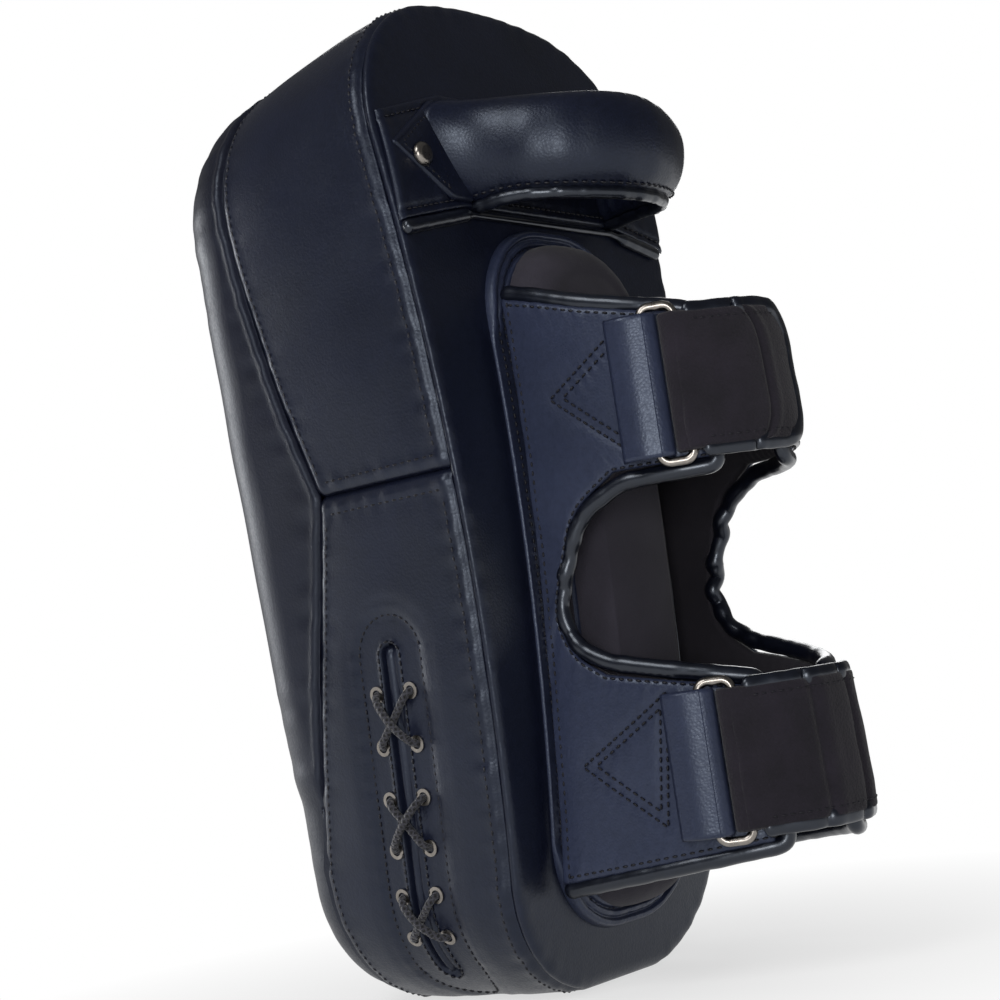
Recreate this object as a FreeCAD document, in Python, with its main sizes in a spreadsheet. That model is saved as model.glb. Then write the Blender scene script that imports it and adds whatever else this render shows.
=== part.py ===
import FreeCAD
import Part
import Sketcher
import math
import os

# Thai pad: an upright striking pad on its base, sizes in millimetres.
# +Z runs up along the pad, +Y is the strike face, -Y is the forearm side with the grip and the cuffs,
# and -X is the gusset with the lacing. The origin is the middle of the flat base.

Vector = FreeCAD.Vector
X_AXIS = Vector(1, 0, 0)
Y_AXIS = Vector(0, 1, 0)
Z_AXIS = Vector(0, 0, 1)
REACH = 150.0

SIZES = [
    # pad outline seen from the strike face
    ("pad_height", 418.0, "height of the top end's crown at the back seam"),
    ("top_fall", 0.18, "fall of the top end per millimetre towards the strike face"),
    ("base_half_width", 69.2, "half width at the base, before the corners are rounded"),
    ("top_half_width", 99.4, "half width at the top, before the corners are rounded"),
    ("end_crown", 21.6, "rise of the arched top and bottom ends across the width"),
    ("base_cut", 2.75, "height cut off the arched bottom end for the flat base"),
    ("base_corner", 56.0, "radius of the outline's two lower corners"),
    ("top_corner", 66.0, "radius of the outline's two upper corners"),
    # pad in side view
    ("back_radius", 1200.0, "radius of the bowed back panel"),
    ("back_peak_y", -62.0, "furthest point of the back panel"),
    ("back_peak_z", 208.0, "height of that point"),
    ("front_base_y", 70.0, "strike face at the base"),
    ("front_top_y", 69.0, "strike face at the top"),
    ("front_rounding", 26.0, "radius of the edge round the strike face"),
    ("back_rounding", 5.0, "radius of the edge round the back panel"),
    ("cover_thickness", 1.6, "synthetic leather of the cover"),
    ("seam_gap", 0.3, "gap between two panels at a seam"),
    ("fit_gap", 0.3, "gap between a cover and what fills it"),
    ("seam_kink_y", 12.0, "front seam where it meets the middle seam"),
    ("seam_kink_z", 214.0, "height of the middle seam"),
    ("seam_top_y", 37.0, "front seam near the top"),
    ("seam_top_z", 345.0, "height where the front seam turns straight"),
    ("seam_base_y", 49.5, "front seam near the base"),
    ("seam_base_z", 62.0, "height of that point"),
    ("back_seam_depth", 4.0, "depth of the back seam behind the back panel"),
    ("foam_split_back", -26.0, "plane between the back and the middle foam"),
    ("foam_split_front", 26.0, "plane between the middle and the strike foam"),
    # lacing on the lower gusset
    ("slit_width", 8.0, "width of the laced slit"),
    ("slit_top_z", 146.0, "top of the slit"),
    ("slit_top_y", -9.5, "top of the slit, across"),
    ("slit_base_z", 18.0, "bottom of the slit"),
    ("slit_base_y", 1.5, "bottom of the slit, across"),
    ("facing_margin", 17.0, "half width of the oval facing round the slit"),
    ("facing_thickness", 1.0, "reinforcement behind the slit"),
    ("tongue_depth", 7.3, "depth of the tongue below the outside"),
    ("tongue_thickness", 1.2, "tongue behind the slit"),
    ("eyelet_radius", 3.5, "flange radius of an eyelet"),
    ("eyelet_bore", 2.1, "bore radius of an eyelet"),
    ("eyelet_flange", 0.7, "height of an eyelet's flange"),
    ("eyelet_seat", 0.3, "gap between an eyelet's flange and the gusset"),
    ("eyelet_offset", 9.0, "eyelet from the middle of the slit"),
    ("lace_radius", 1.5, "round lace"),
    ("lace_bend", 2.0, "bend radius of the lace at an eyelet"),
    # grip
    ("band_half_length", 92.0, "half length of the band under the grip"),
    ("band_low_z", 321.0, "lower edge of the band at the grip"),
    ("band_low_end_z", 312.0, "lower edge of the band at its ends"),
    ("band_top_z", 371.0, "upper edge of the band at the grip"),
    ("band_end_z", 359.0, "upper edge of the band at its ends"),
    ("band_thickness", 2.0, "band under the grip"),
    ("grip_middle_x", 4.0, "middle of the grip"),
    ("grip_half_span", 53.0, "half span of the grip's arch, outside"),
    ("grip_rise", 64.0, "rise of the grip's arch above the band, outside"),
    ("grip_thickness", 15.0, "padded thickness of the grip"),
    ("grip_low_z", 327.0, "lower edge of the grip"),
    ("grip_top_z", 366.0, "upper edge of the grip"),
    ("grip_skin", 1.6, "cover and lining of the grip"),
    ("grip_rounding", 11.0, "rounded outer edges of the grip"),
    ("grip_binding_radius", 2.2, "bound edge under the grip"),
    ("grip_droop", 9.0, "angle by which the arch hangs down from the band, in plain degrees"),
    ("grip_root", 5.0, "length of the arch kept beyond the band before it is seated"),
    ("end_tab_apex_x", 89.0, "outer point of a grip end tab"),
    ("end_tab_foot_x", 58.0, "inner side of a grip end tab"),
    ("end_tab_low_z", 323.5, "lower corner of a grip end tab"),
    ("end_tab_high_z", 367.0, "upper corner of a grip end tab"),
    ("end_tab_thickness", 1.6, "leather of a grip end tab"),
    ("rivet_x", 74.0, "rivet from the middle"),
    ("rivet_z", 341.0, "height of the rivets"),
    ("rivet_radius", 5.0, "domed rivet head"),
    ("rivet_height", 2.6, "height of the domed rivet head"),
    ("rivet_dome", 2.2, "rounding of the rivet head"),
    # forearm sleeve
    ("sleeve_base_half_width", 49.5, "half width of the padded sleeve base"),
    ("sleeve_base_low_z", 22.0, "lower end of the sleeve base"),
    ("sleeve_base_top_z", 315.0, "upper end of the sleeve base"),
    ("sleeve_base_thickness", 5.0, "padded sleeve base"),
    ("sleeve_base_radius", 42.0, "corner radius of the sleeve base"),
    ("rim_width", 3.6, "bound rim round the sleeve base"),
    ("cushion_half_width", 38.0, "half width of the forearm cushion"),
    ("cushion_margin", 10.0, "sleeve base left bare at the cushion's ends"),
    ("cushion_thickness", 16.0, "forearm cushion"),
    ("cushion_rounding", 8.0, "rounded edge of the forearm cushion"),
    ("cushion_skin", 2.0, "neoprene cover of the forearm cushion"),
    ("cuff_half_low", 50.5, "half width of the cuffs outside, at their lower edge"),
    ("cuff_half_top", 46.0, "half width of the cuffs outside, at their upper edge"),
    ("cuff_depth_low", 106.0, "depth of the lower cuff's ellipse at its lower edge"),
    ("cuff_depth_top", 81.0, "depth of the upper cuff's ellipse at its upper edge"),
    ("cuff_root_low", -58.0, "start of the ellipse at the lower edge"),
    ("cuff_root_top", -75.0, "start of the ellipse at the upper edge"),
    ("cuff_low_z", 43.0, "lower edge of the lower cuff at its root"),
    ("cuff_low_front_z", 52.0, "lower edge of the lower cuff in front"),
    ("cuff_top_z", 284.0, "upper edge of the upper cuff at its root"),
    ("cuff_top_front_z", 262.0, "upper edge of the upper cuff in front"),
    ("cuff_skin", 1.8, "synthetic leather of the cuffs"),
    ("cuff_lining", 3.6, "neoprene lining of the cuffs"),
    ("cuff_binding", 3.2, "bound edge of the cuffs"),
    ("notch_low_front_z", 106.0, "upper edge of the lower cuff in front"),
    ("notch_low_z", 130.0, "upper edge of the lower cuff near its root"),
    ("notch_top_z", 200.0, "lower edge of the upper cuff"),
    ("notch_root_y", -73.0, "inner end of the notch between the cuffs, near side"),
    ("far_root_extra", 15.0, "wider root strip of the far side between the cuffs"),
    ("near_flap_x", -26.0, "free edge of the laced side's cuff"),
    ("far_flap_x", 3.0, "free edge of the far side's cuff"),
    # rings, tabs and straps
    ("ring_wire_radius", 1.8, "wire of a ring"),
    ("ring_half_length", 30.5, "half length of a ring, centre of the wire"),
    ("ring_width", 13.0, "width of a ring, centre of the wire"),
    ("ring_corner", 4.0, "corner radius of a ring, centre of the wire"),
    ("ring_lift", 4.7, "height of a ring above the cuff"),
    ("ring_angle", 49.0, "place of a ring's strap bar round the cuff, in plain degrees"),
    ("fold_bore", 2.1, "bore of a fold round a ring's bar"),
    ("strap_thickness", 2.0, "leather or strap thickness of a fold"),
    ("tab_length", 18.0, "length of a ring tab"),
    ("strap_half_width", 26.5, "half width of a strap and of a ring tab"),
    ("upper_strap_z", 233.0, "middle of the upper strap"),
    ("lower_strap_z", 87.0, "middle of the lower strap"),
    ("strap_lift", 0.6, "strap above the cuff"),
    ("strap_end_x", 30.0, "sewn end of a strap on the far cuff"),
    ("tail_lift", 3.9, "folded back tail above the cuff"),
    ("tail_thickness", 2.0, "folded back tail"),
    ("upper_tail_end_x", 10.0, "free end of the upper tail"),
    ("lower_tail_end_x", 27.0, "free end of the lower tail"),
    ("tail_clearance", 5.0, "start of a tail from the bar's centre"),
    ("tail_end_radius", 16.0, "rounded corners of a tail's end"),
    ("hook_thickness", 0.7, "hook patch under a tail"),
]


# The document, its sheet and small helpers

document = FreeCAD.newDocument("ThaiPad")
sheet = document.addObject("Spreadsheet::Sheet", "Sizes")
for row, (alias, number, meaning) in enumerate(SIZES, start=1):
    sheet.set("A%d" % row, alias)
    sheet.set("B%d" % row, str(number))
    sheet.set("C%d" % row, meaning)
    sheet.setAlias("B%d" % row, alias)
document.recompute()
exports = []


def size(alias):
    """Read one size from the sheet."""
    return float(sheet.get(alias))


def plane_of(body, role):
    """Find one of a body's own origin planes."""
    return [plane for plane in body.Origin.OriginFeatures if plane.Role == role][0]


def add_shape(label, shape, placement=None):
    """Add one sub-part from its shape and list it for export."""
    feature = document.addObject("Part::Feature", label)
    feature.Label = label
    feature.Shape = shape
    if placement is not None:
        feature.Placement = placement
    exports.append(feature)
    return feature


def new_body(label):
    """Start one feature-built sub-part and list it for export."""
    body = document.addObject("PartDesign::Body", label)
    body.Label = label
    exports.append(body)
    return body


def new_sketch(body, name, role):
    """Attach a sketch flat to one of the body's origin planes."""
    sketch = body.newObject("Sketcher::SketchObject", name)
    sketch.AttachmentSupport = [(plane_of(body, role), "")]
    sketch.MapMode = "FlatFace"
    return sketch


def drive(sketch, constraint, name, expression):
    """Add a constraint and let the sheet drive it."""
    index = sketch.addConstraint(constraint)
    sketch.renameConstraint(index, name)
    sketch.setExpression("Constraints." + name, expression)


def draw_polygon(sketch, name, corners):
    """Draw a closed outline; a corner is (x, y, x expression, y expression), driven from the origin."""
    count = len(corners)
    for number in range(count):
        first = corners[number]
        second = corners[(number + 1) % count]
        line = Part.LineSegment(Vector(first[0], first[1], 0), Vector(second[0], second[1], 0))
        sketch.addGeometry(line, False)
    for number in range(count):
        following = (number + 1) % count
        sketch.addConstraint(Sketcher.Constraint("Coincident", number, 2, following, 1))
    for number, corner in enumerate(corners):
        across = Sketcher.Constraint("DistanceX", -1, 1, number, 1, corner[0])
        drive(sketch, across, "%sX%d" % (name, number), corner[2])
        along = Sketcher.Constraint("DistanceY", -1, 1, number, 1, corner[1])
        drive(sketch, along, "%sY%d" % (name, number), corner[3])


def draw_circle(sketch, name, radius, expression):
    """Draw a driven circle about the sketch's origin."""
    index = sketch.addGeometry(Part.Circle(Vector(0, 0, 0), Z_AXIS, radius), False)
    sketch.addConstraint(Sketcher.Constraint("Coincident", index, 3, -1, 1))
    drive(sketch, Sketcher.Constraint("Radius", index, radius), name, expression)


def pad(body, name, sketch, expression, middle=False):
    """Pad a sketch by a driven length."""
    feature = body.newObject("PartDesign::Pad", name)
    feature.Profile = sketch
    feature.Midplane = middle
    feature.setExpression("Length", expression)
    return feature


# The pad's block: its outline from the front, its bowed back and its covers

def side_slope():
    """Widening of one side per millimetre of height."""
    return (size("top_half_width") - size("base_half_width")) / size("pad_height")


def half_width(height):
    """Half width of the pad at one height, between its corners."""
    return size("base_half_width") + side_slope() * height


def arch_circle(top, drop=0.0):
    """Centre height and radius of the arched bottom end, or of the top end lowered by drop."""
    if top:
        half = size("top_half_width")
    else:
        half = size("base_half_width")
    rise = size("end_crown")
    radius = (half * half + rise * rise) / (2 * rise)
    if top:
        return size("pad_height") - drop - radius, radius
    return radius - size("base_cut"), radius


def corner_radius(top):
    """Radius of an upper or a lower corner of the outline."""
    if top:
        return size("top_corner")
    return size("base_corner")


def corner_centre(top, drop=0.0):
    """Centre of a -X corner, which touches both the side line and the arched end."""
    stretch = math.sqrt(1 + side_slope() ** 2)
    middle, radius = arch_circle(top, drop)
    corner = corner_radius(top)
    offset = size("base_half_width") - corner * stretch
    slope = side_slope()
    a = slope * slope + 1
    b = 2 * (slope * offset - middle)
    c = offset * offset + middle * middle - (radius - corner) ** 2
    root = math.sqrt(b * b - 4 * a * c)
    if top:
        height = (-b + root) / (2 * a)
    else:
        height = (-b - root) / (2 * a)
    return Vector(-(offset + slope * height), 0, height)


def side_normal():
    """Outward normal of the -X side."""
    return Vector(-1, 0, -side_slope()).normalize()


def corner_points(top, inset, drop=0.0):
    """Side end, middle and arch end of a -X corner, moved in by inset."""
    centre = corner_centre(top, drop)
    radius = corner_radius(top) - inset
    middle = arch_circle(top, drop)[0]
    outward = (centre - Vector(0, 0, middle)).normalize()
    halfway = (side_normal() + outward).normalize()
    return centre + side_normal() * radius, centre + halfway * radius, centre + outward * radius


def mirrored(point):
    """The same point on the other side of the pad."""
    return Vector(-point.x, point.y, point.z)


def outline_wire(inset, depth):
    """Closed outline at one depth along Y, moved in by inset; its top end falls towards the front."""
    drop = (depth - back_y(size("pad_height"))) * size("top_fall")
    low_side, low_mid, low_end = corner_points(False, inset)
    top_side, top_mid, top_end = corner_points(True, inset, drop)
    middle, radius = arch_circle(False)
    radius = radius - inset
    foot_x = math.sqrt(radius ** 2 - (middle - inset) ** 2)
    foot = Vector(-foot_x, 0, inset)
    between = Vector(foot.x + low_end.x, 0, foot.z + low_end.z - 2 * middle).normalize()
    low_arch = Vector(0, 0, middle) + between * radius
    crown = Vector(0, 0, size("pad_height") - drop - inset)
    edges = [
        Part.LineSegment(mirrored(foot), foot).toShape(),
        Part.Arc(foot, low_arch, low_end).toShape(),
        Part.Arc(low_end, low_mid, low_side).toShape(),
        Part.LineSegment(low_side, top_side).toShape(),
        Part.Arc(top_side, top_mid, top_end).toShape(),
        Part.Arc(top_end, crown, mirrored(top_end)).toShape(),
        Part.Arc(mirrored(top_end), mirrored(top_mid), mirrored(top_side)).toShape(),
        Part.LineSegment(mirrored(top_side), mirrored(low_side)).toShape(),
        Part.Arc(mirrored(low_side), mirrored(low_mid), mirrored(low_end)).toShape(),
        Part.Arc(mirrored(low_end), mirrored(low_arch), mirrored(foot)).toShape(),
    ]
    wire = Part.Wire(edges)
    wire.translate(Vector(0, depth, 0))
    return wire


def back_cylinder(offset):
    """Solid inside the bowed back surface, grown outward by offset."""
    radius = size("back_radius") + offset
    centre = Vector(-REACH, size("back_peak_y") + size("back_radius"), size("back_peak_z"))
    return Part.makeCylinder(radius, 2 * REACH, centre, X_AXIS)


def back_y(height, offset=0.0):
    """Y of the bowed back surface at one height, offset outward."""
    radius = size("back_radius") + offset
    centre = size("back_peak_y") + size("back_radius")
    return centre - math.sqrt(radius ** 2 - (height - size("back_peak_z")) ** 2)


def back_layer(inner, outer):
    """Layer that lies along the bowed back, between two offsets outward from it."""
    return back_cylinder(outer).cut(back_cylinder(inner))


def prism_along_y(wire, start, end):
    """Prism of an XZ outline between two Y planes."""
    face = Part.Face(wire)
    face.translate(Vector(0, start, 0))
    return face.extrude(Vector(0, end - start, 0))


def prism_along_x(wire, start=-REACH, end=REACH):
    """Prism of a YZ outline between two X planes."""
    face = Part.Face(wire)
    face.translate(Vector(start, 0, 0))
    return face.extrude(Vector(end - start, 0, 0))


def polygon(points):
    """Closed wire through points."""
    return Part.makePolygon(list(points) + [points[0]])


def box_between(low, high):
    """Box from its low to its high corner."""
    return Part.makeBox(high[0] - low[0], high[1] - low[1], high[2] - low[2], Vector(*low))


def front_half_space(inset):
    """Everything behind the strike face, moved in by inset."""
    low = -40.0
    high = size("pad_height") + 40.0
    slope = (size("front_top_y") - size("front_base_y")) / size("pad_height")
    low_y = size("front_base_y") + slope * low - inset
    high_y = size("front_base_y") + slope * high - inset
    points = [Vector(0, -REACH, low), Vector(0, low_y, low), Vector(0, high_y, high), Vector(0, -REACH, high)]
    return prism_along_x(polygon(points))


def block_edges(shape, inset, front):
    """Edges round the strike face or round the back panel."""
    found = []
    for edge in shape.Edges:
        box = edge.BoundBox
        if front and box.YMin > size("front_top_y") - inset - 1.0:
            found.append(edge)
        if not front and box.YMax < back_y(0) + inset + 1.0:
            found.append(edge)
    return found


def pad_block(inset):
    """The whole pad as one rounded block, moved in by inset."""
    shape = Part.makeLoft([outline_wire(inset, -90), outline_wire(inset, 90)], True, True)
    shape = shape.common(front_half_space(inset))
    shape = shape.common(back_cylinder(-inset))
    shape = shape.makeFillet(size("front_rounding") - inset, block_edges(shape, inset, True))
    back_radius = max(size("back_rounding") - inset, 1.0)
    return shape.makeFillet(back_radius, block_edges(shape, inset, False))


def front_seam_prism(shift):
    """Everything on the strike face's side of the front seam, moved by shift along Y."""
    kink = Vector(0, size("seam_kink_y") + shift, size("seam_kink_z"))
    top = Vector(0, size("seam_top_y") + shift, size("seam_top_z"))
    base = Vector(0, size("seam_base_y") + shift, size("seam_base_z"))
    upper_mid = Vector(0, (kink.y + top.y) / 2 + 4.5, (kink.z + top.z) / 2)
    lower_mid = Vector(0, (kink.y + base.y) / 2 + 1.5, (kink.z + base.z) / 2)
    over = size("pad_height") + 30
    edges = [
        Part.Arc(top, upper_mid, kink).toShape(),
        Part.Arc(kink, lower_mid, base).toShape(),
        Part.LineSegment(base, Vector(0, base.y - 6, -30)).toShape(),
        Part.LineSegment(Vector(0, base.y - 6, -30), Vector(0, REACH, -30)).toShape(),
        Part.LineSegment(Vector(0, REACH, -30), Vector(0, REACH, over)).toShape(),
        Part.LineSegment(Vector(0, REACH, over), Vector(0, top.y, over)).toShape(),
        Part.LineSegment(Vector(0, top.y, over), top).toShape(),
    ]
    return prism_along_x(Part.Wire(edges))


def slit_prism(half):
    """Long prism across the laced gusset with round ends, of the given half width."""
    top = Vector(0, size("slit_top_y"), size("slit_top_z"))
    base = Vector(0, size("slit_base_y"), size("slit_base_z"))
    along = (top - base).normalize()
    across = Vector(0, -along.z, along.y) * half
    edges = [
        Part.LineSegment(base + across, top + across).toShape(),
        Part.Arc(top + across, top + along * half, top - across).toShape(),
        Part.LineSegment(top - across, base - across).toShape(),
        Part.Arc(base - across, base - along * half, base + across).toShape(),
    ]
    return prism_along_x(Part.Wire(edges), -REACH, -40)


def slit_y(height):
    """Middle of the slit at one height."""
    share = (height - size("slit_base_z")) / (size("slit_top_z") - size("slit_base_z"))
    return size("slit_base_y") + share * (size("slit_top_y") - size("slit_base_y"))


def build_foam():
    """Three bonded sheets of foam that fill the cover."""
    filling = pad_block(size("cover_thickness") + size("fit_gap"))
    channel_floor = size("tongue_depth") + size("tongue_thickness") + size("fit_gap")
    channel = slit_prism(size("facing_margin") + 3).cut(pad_block(channel_floor))
    filling = filling.cut(channel)
    gap = size("fit_gap") / 2
    back = size("foam_split_back")
    front = size("foam_split_front")
    over = size("pad_height") + 10
    layers = [
        ("back_foam", -REACH, back - gap),
        ("middle_foam", back + gap, front - gap),
        ("strike_foam", front + gap, REACH),
    ]
    for label, low, high in layers:
        slab = box_between((-REACH, low, -10), (REACH, high, over))
        add_shape(label, filling.common(slab))


def build_cover():
    """Strike cover, two gusset panels and the back panel, as one skin cut at its seams."""
    skin = pad_block(0).cut(pad_block(size("cover_thickness")))
    gap = size("seam_gap") / 2
    add_shape("strike_cover", skin.common(front_seam_prism(gap)))
    rest = skin.cut(front_seam_prism(-gap))
    depth = size("back_seam_depth")
    back = rest.cut(back_cylinder(-depth + gap))
    add_shape("back_panel", back)
    gusset = rest.common(back_cylinder(-depth - gap))
    seam = size("seam_kink_z")
    over = size("pad_height") + 10
    upper = gusset.common(box_between((-REACH, -REACH, seam + gap), (REACH, REACH, over)))
    add_shape("upper_gusset", upper)
    lower = gusset.common(box_between((-REACH, -REACH, -10), (REACH, REACH, seam - gap)))
    lower = lower.cut(slit_prism(size("slit_width") / 2))
    for place, outward in eyelet_places():
        lower = lower.cut(bore_at(place, outward, size("eyelet_bore") + 0.75))
    add_shape("lower_gusset", lower)


# Lacing of the lower gusset

EYELET_HEIGHTS = (131.0, 109.5, 88.0, 67.5, 48.5, 31.0)


def gusset_point(height, y, depth):
    """Point of the -X gusset at one height, depth below its outside, with its outward normal."""
    centre = corner_centre(False)
    radius = corner_radius(False)
    side_end = corner_points(False, 0)[0]
    if height >= side_end.z:
        surface = Vector(-half_width(height), y, height)
        outward = side_normal()
    else:
        rise = height - centre.z
        run = math.sqrt(radius ** 2 - rise ** 2)
        surface = Vector(centre.x - run, y, height)
        outward = Vector(-run, 0, rise).normalize()
    return surface - outward * depth, outward


def eyelet_places():
    """Places and normals of all eyelets: both columns, top to bottom."""
    places = []
    for column in (1, -1):
        for height in EYELET_HEIGHTS:
            y = slit_y(height) + column * size("eyelet_offset")
            places.append(gusset_point(height, y, 0))
    return places


def bore_at(place, outward, radius):
    """Straight bore through the gusset at one eyelet."""
    return Part.makeCylinder(radius, 14, place - outward * 7, outward)


def build_facing():
    """Oval reinforcement behind the slit."""
    outer = size("cover_thickness") + size("fit_gap")
    inner = outer + size("facing_thickness")
    layer = pad_block(outer).cut(pad_block(inner))
    facing = layer.common(slit_prism(size("facing_margin"))).cut(slit_prism(size("slit_width") / 2))
    for place, outward in eyelet_places():
        facing = facing.cut(bore_at(place, outward, size("eyelet_bore") + 0.75))
    add_shape("lace_facing", facing)


def build_tongue():
    """Tongue that closes the slit from inside, under the lace."""
    outer = size("tongue_depth")
    layer = pad_block(outer).cut(pad_block(outer + size("tongue_thickness")))
    add_shape("lace_tongue", layer.common(slit_prism(size("facing_margin") + 1)))


def build_eyelets():
    """Metal eyelets through the gusset and its facing."""
    flange = size("eyelet_flange")
    bore = size("eyelet_bore")
    barrel = bore + 0.6
    sheet_depth = size("cover_thickness") + size("fit_gap") + size("facing_thickness")
    shapes = []
    for place, outward in eyelet_places():
        outside = place + outward * size("eyelet_seat")
        ring = Part.makeCylinder(size("eyelet_radius"), flange, outside, outward)
        tube = Part.makeCylinder(barrel, sheet_depth + 1, place - outward * (sheet_depth + 0.5), outward)
        washer_place = place - outward * (sheet_depth + size("eyelet_seat") + flange)
        washer = Part.makeCylinder(size("eyelet_radius"), flange, washer_place, outward)
        hole = Part.makeCylinder(bore, 20, place - outward * 10, outward)
        shapes.append(ring.fuse([tube, washer]).cut(hole))
    add_shape("lace_eyelets", Part.makeCompound(shapes))


def rounded_path(points, bend):
    """Straight runs joined by tangent arcs of one bend radius, less where a run is short."""
    edges = []
    start = points[0]
    for number in range(1, len(points) - 1):
        corner = points[number]
        into = (corner - points[number - 1]).normalize()
        out = (points[number + 1] - corner).normalize()
        turn = into.getAngle(out)
        if turn < 0.01:
            continue
        reach = bend * math.tan(turn / 2)
        first = corner - into * reach
        last = corner + out * reach
        inward = (out - into).normalize()
        sink = bend / math.cos(turn / 2) - bend
        edges.append(Part.LineSegment(start, first).toShape())
        edges.append(Part.Arc(first, corner + inward * sink, last).toShape())
        start = last
    edges.append(Part.LineSegment(start, points[-1]).toShape())
    return Part.Wire(edges)


def swept_rod(path, radius):
    """Round rod along a path."""
    first = path.OrderedEdges[0]
    start = first.valueAt(first.FirstParameter)
    heading = first.tangentAt(first.FirstParameter)
    ring = Part.Wire(Part.makeCircle(radius, start, heading))
    return path.makePipeShell([ring], True, False)


def strand_points(first_column, lift_middle):
    """One strand from under the top pair, crossing over the slit between every second pair."""
    over = size("eyelet_seat") + size("eyelet_flange") + size("lace_radius") + 0.5
    sheet_depth = size("cover_thickness") + size("fit_gap") + size("facing_thickness")
    under = sheet_depth + size("eyelet_seat") + size("eyelet_flange") + size("lace_radius") + 0.3
    points = []
    column = first_column
    for number, height in enumerate(EYELET_HEIGHTS):
        y = slit_y(height) + column * size("eyelet_offset")
        inside = gusset_point(height, y, under)[0]
        outside = gusset_point(height, y, -over)[0]
        if number % 2 == 0:
            points.append(inside)
            points.append(outside)
            if lift_middle:
                low = EYELET_HEIGHTS[number + 1]
                middle = (height + low) / 2
                raised = over + 2 * size("lace_radius") + 0.5
                points.append(gusset_point(middle, slit_y(middle), -raised)[0])
            column = -column
        else:
            points.append(outside)
            points.append(inside)
    return points


def build_lace():
    """One round lace through all eyelets, crossed three times."""
    near = strand_points(1, True)
    far = strand_points(-1, False)
    route = list(reversed(near)) + far
    add_shape("side_lace", swept_rod(rounded_path(route, size("lace_bend")), size("lace_radius")))


# Grip across the back

def build_band():
    """Band under the grip, along the back panel, and the bound roll under it."""
    long_x = size("band_half_length")
    grip_x = size("grip_half_span")
    low = size("band_low_z")
    low_end = size("band_low_end_z")
    outline = [
        Vector(-long_x, 0, low_end), Vector(-grip_x, 0, low), Vector(grip_x, 0, low),
        Vector(long_x, 0, low_end), Vector(long_x, 0, size("band_end_z")),
        Vector(grip_x, 0, size("band_top_z")), Vector(-grip_x, 0, size("band_top_z")),
        Vector(-long_x, 0, size("band_end_z")),
    ]
    gap = size("fit_gap")
    layer = back_layer(gap, gap + size("band_thickness"))
    add_shape("grip_base_band", layer.common(prism_along_y(polygon(outline), -90, 0)))
    radius = size("grip_binding_radius")
    points = []
    for x, edge_z in ((-long_x, low_end), (-grip_x, low), (grip_x, low), (long_x, low_end)):
        height = edge_z - radius - gap
        points.append(Vector(x, back_y(height) - radius - gap, height))
    add_shape("grip_band_binding", swept_rod(rounded_path(points, 12.0), radius))


def band_face():
    """Y of the band's outer face under the middle of the grip."""
    middle = (size("grip_low_z") + size("grip_top_z")) / 2
    return back_y(middle, size("fit_gap") * 2 + size("band_thickness"))


def arch_face(outer, inner):
    """Half ellipse band of the grip in the XY plane, between two offsets in from its outside."""
    centre_y = band_face()
    x = size("grip_middle_x")
    wires = []
    for offset in (outer, inner):
        half = size("grip_half_span") - offset
        rise = size("grip_rise") - offset
        ellipse = Part.Ellipse(Vector(x, centre_y - rise, 0), Vector(x + half, centre_y, 0), Vector(x, centre_y, 0))
        wires.append(ellipse)
    outer_face = Part.Face(Part.Wire(wires[0].toShape()))
    inner_face = Part.Face(Part.Wire(wires[1].toShape()))
    clip = Part.makePlane(2 * REACH, REACH + size("grip_root"), Vector(-REACH, centre_y - REACH, 0))
    return outer_face.common(clip).cut(inner_face)


def arch_solid(outer, inner, low, top):
    """Part of the grip's arch between two offsets and two heights."""
    face = arch_face(outer, inner)
    face.translate(Vector(0, 0, low))
    return face.extrude(Vector(0, 0, top - low))


def rounded_arch(outer, inner, low, top, rounding):
    """Arch with its two outer edges rounded."""
    solid = arch_solid(outer, inner, low, top).Solids[0]
    reach = band_face() - size("grip_rise") + outer + 0.05
    edges = [edge for edge in solid.Edges if edge.BoundBox.YMin < reach and edge.BoundBox.ZLength < 0.01]
    return solid.makeFillet(rounding, edges)


def seated(shape):
    """The arch or its edge, drooped about the band and cut flush on the band's face."""
    middle = (size("grip_low_z") + size("grip_top_z")) / 2
    shape.rotate(Vector(0, band_face(), middle), X_AXIS, size("grip_droop"))
    seat = 2 * size("fit_gap") + size("band_thickness")
    return shape.cut(back_cylinder(seat)).Solids[0]


def build_grip():
    """Padded arch: cover outside, lining inside, foam between them, and its bound edges."""
    low = size("grip_low_z")
    top = size("grip_top_z")
    skin = size("grip_skin")
    thick = size("grip_thickness")
    gap = size("fit_gap")
    whole = rounded_arch(0, thick, low, top, size("grip_rounding"))
    hollow = rounded_arch(skin, thick - skin, low + skin, top - skin, size("grip_rounding") - skin)
    shell = whole.cut(hollow)
    inside = arch_solid(thick - skin - 1, thick + 5, low - 1, top + 1)
    add_shape("grip_cover", seated(shell.cut(inside)))
    inside_tight = arch_solid(thick - skin - 1 + gap, thick + 5, low - 1, top + 1)
    add_shape("grip_lining", seated(shell.common(inside_tight)))
    fill = skin + gap
    rounding = size("grip_rounding") - fill
    add_shape("grip_foam", seated(rounded_arch(fill, thick - fill, low + fill, top - fill, rounding)))
    radius = size("grip_binding_radius")
    for label, height in (("grip_lower_binding", low - radius - gap), ("grip_upper_binding", top + radius + gap)):
        half = size("grip_half_span") - thick / 2
        rise = size("grip_rise") - thick / 2
        middle = Vector(size("grip_middle_x"), band_face(), height)
        ellipse = Part.Ellipse(middle + Vector(0, -rise, 0), middle + Vector(half, 0, 0), middle)
        rod = arch_rod(ellipse, radius, middle)
        add_shape(label, seated(rod))


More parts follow.
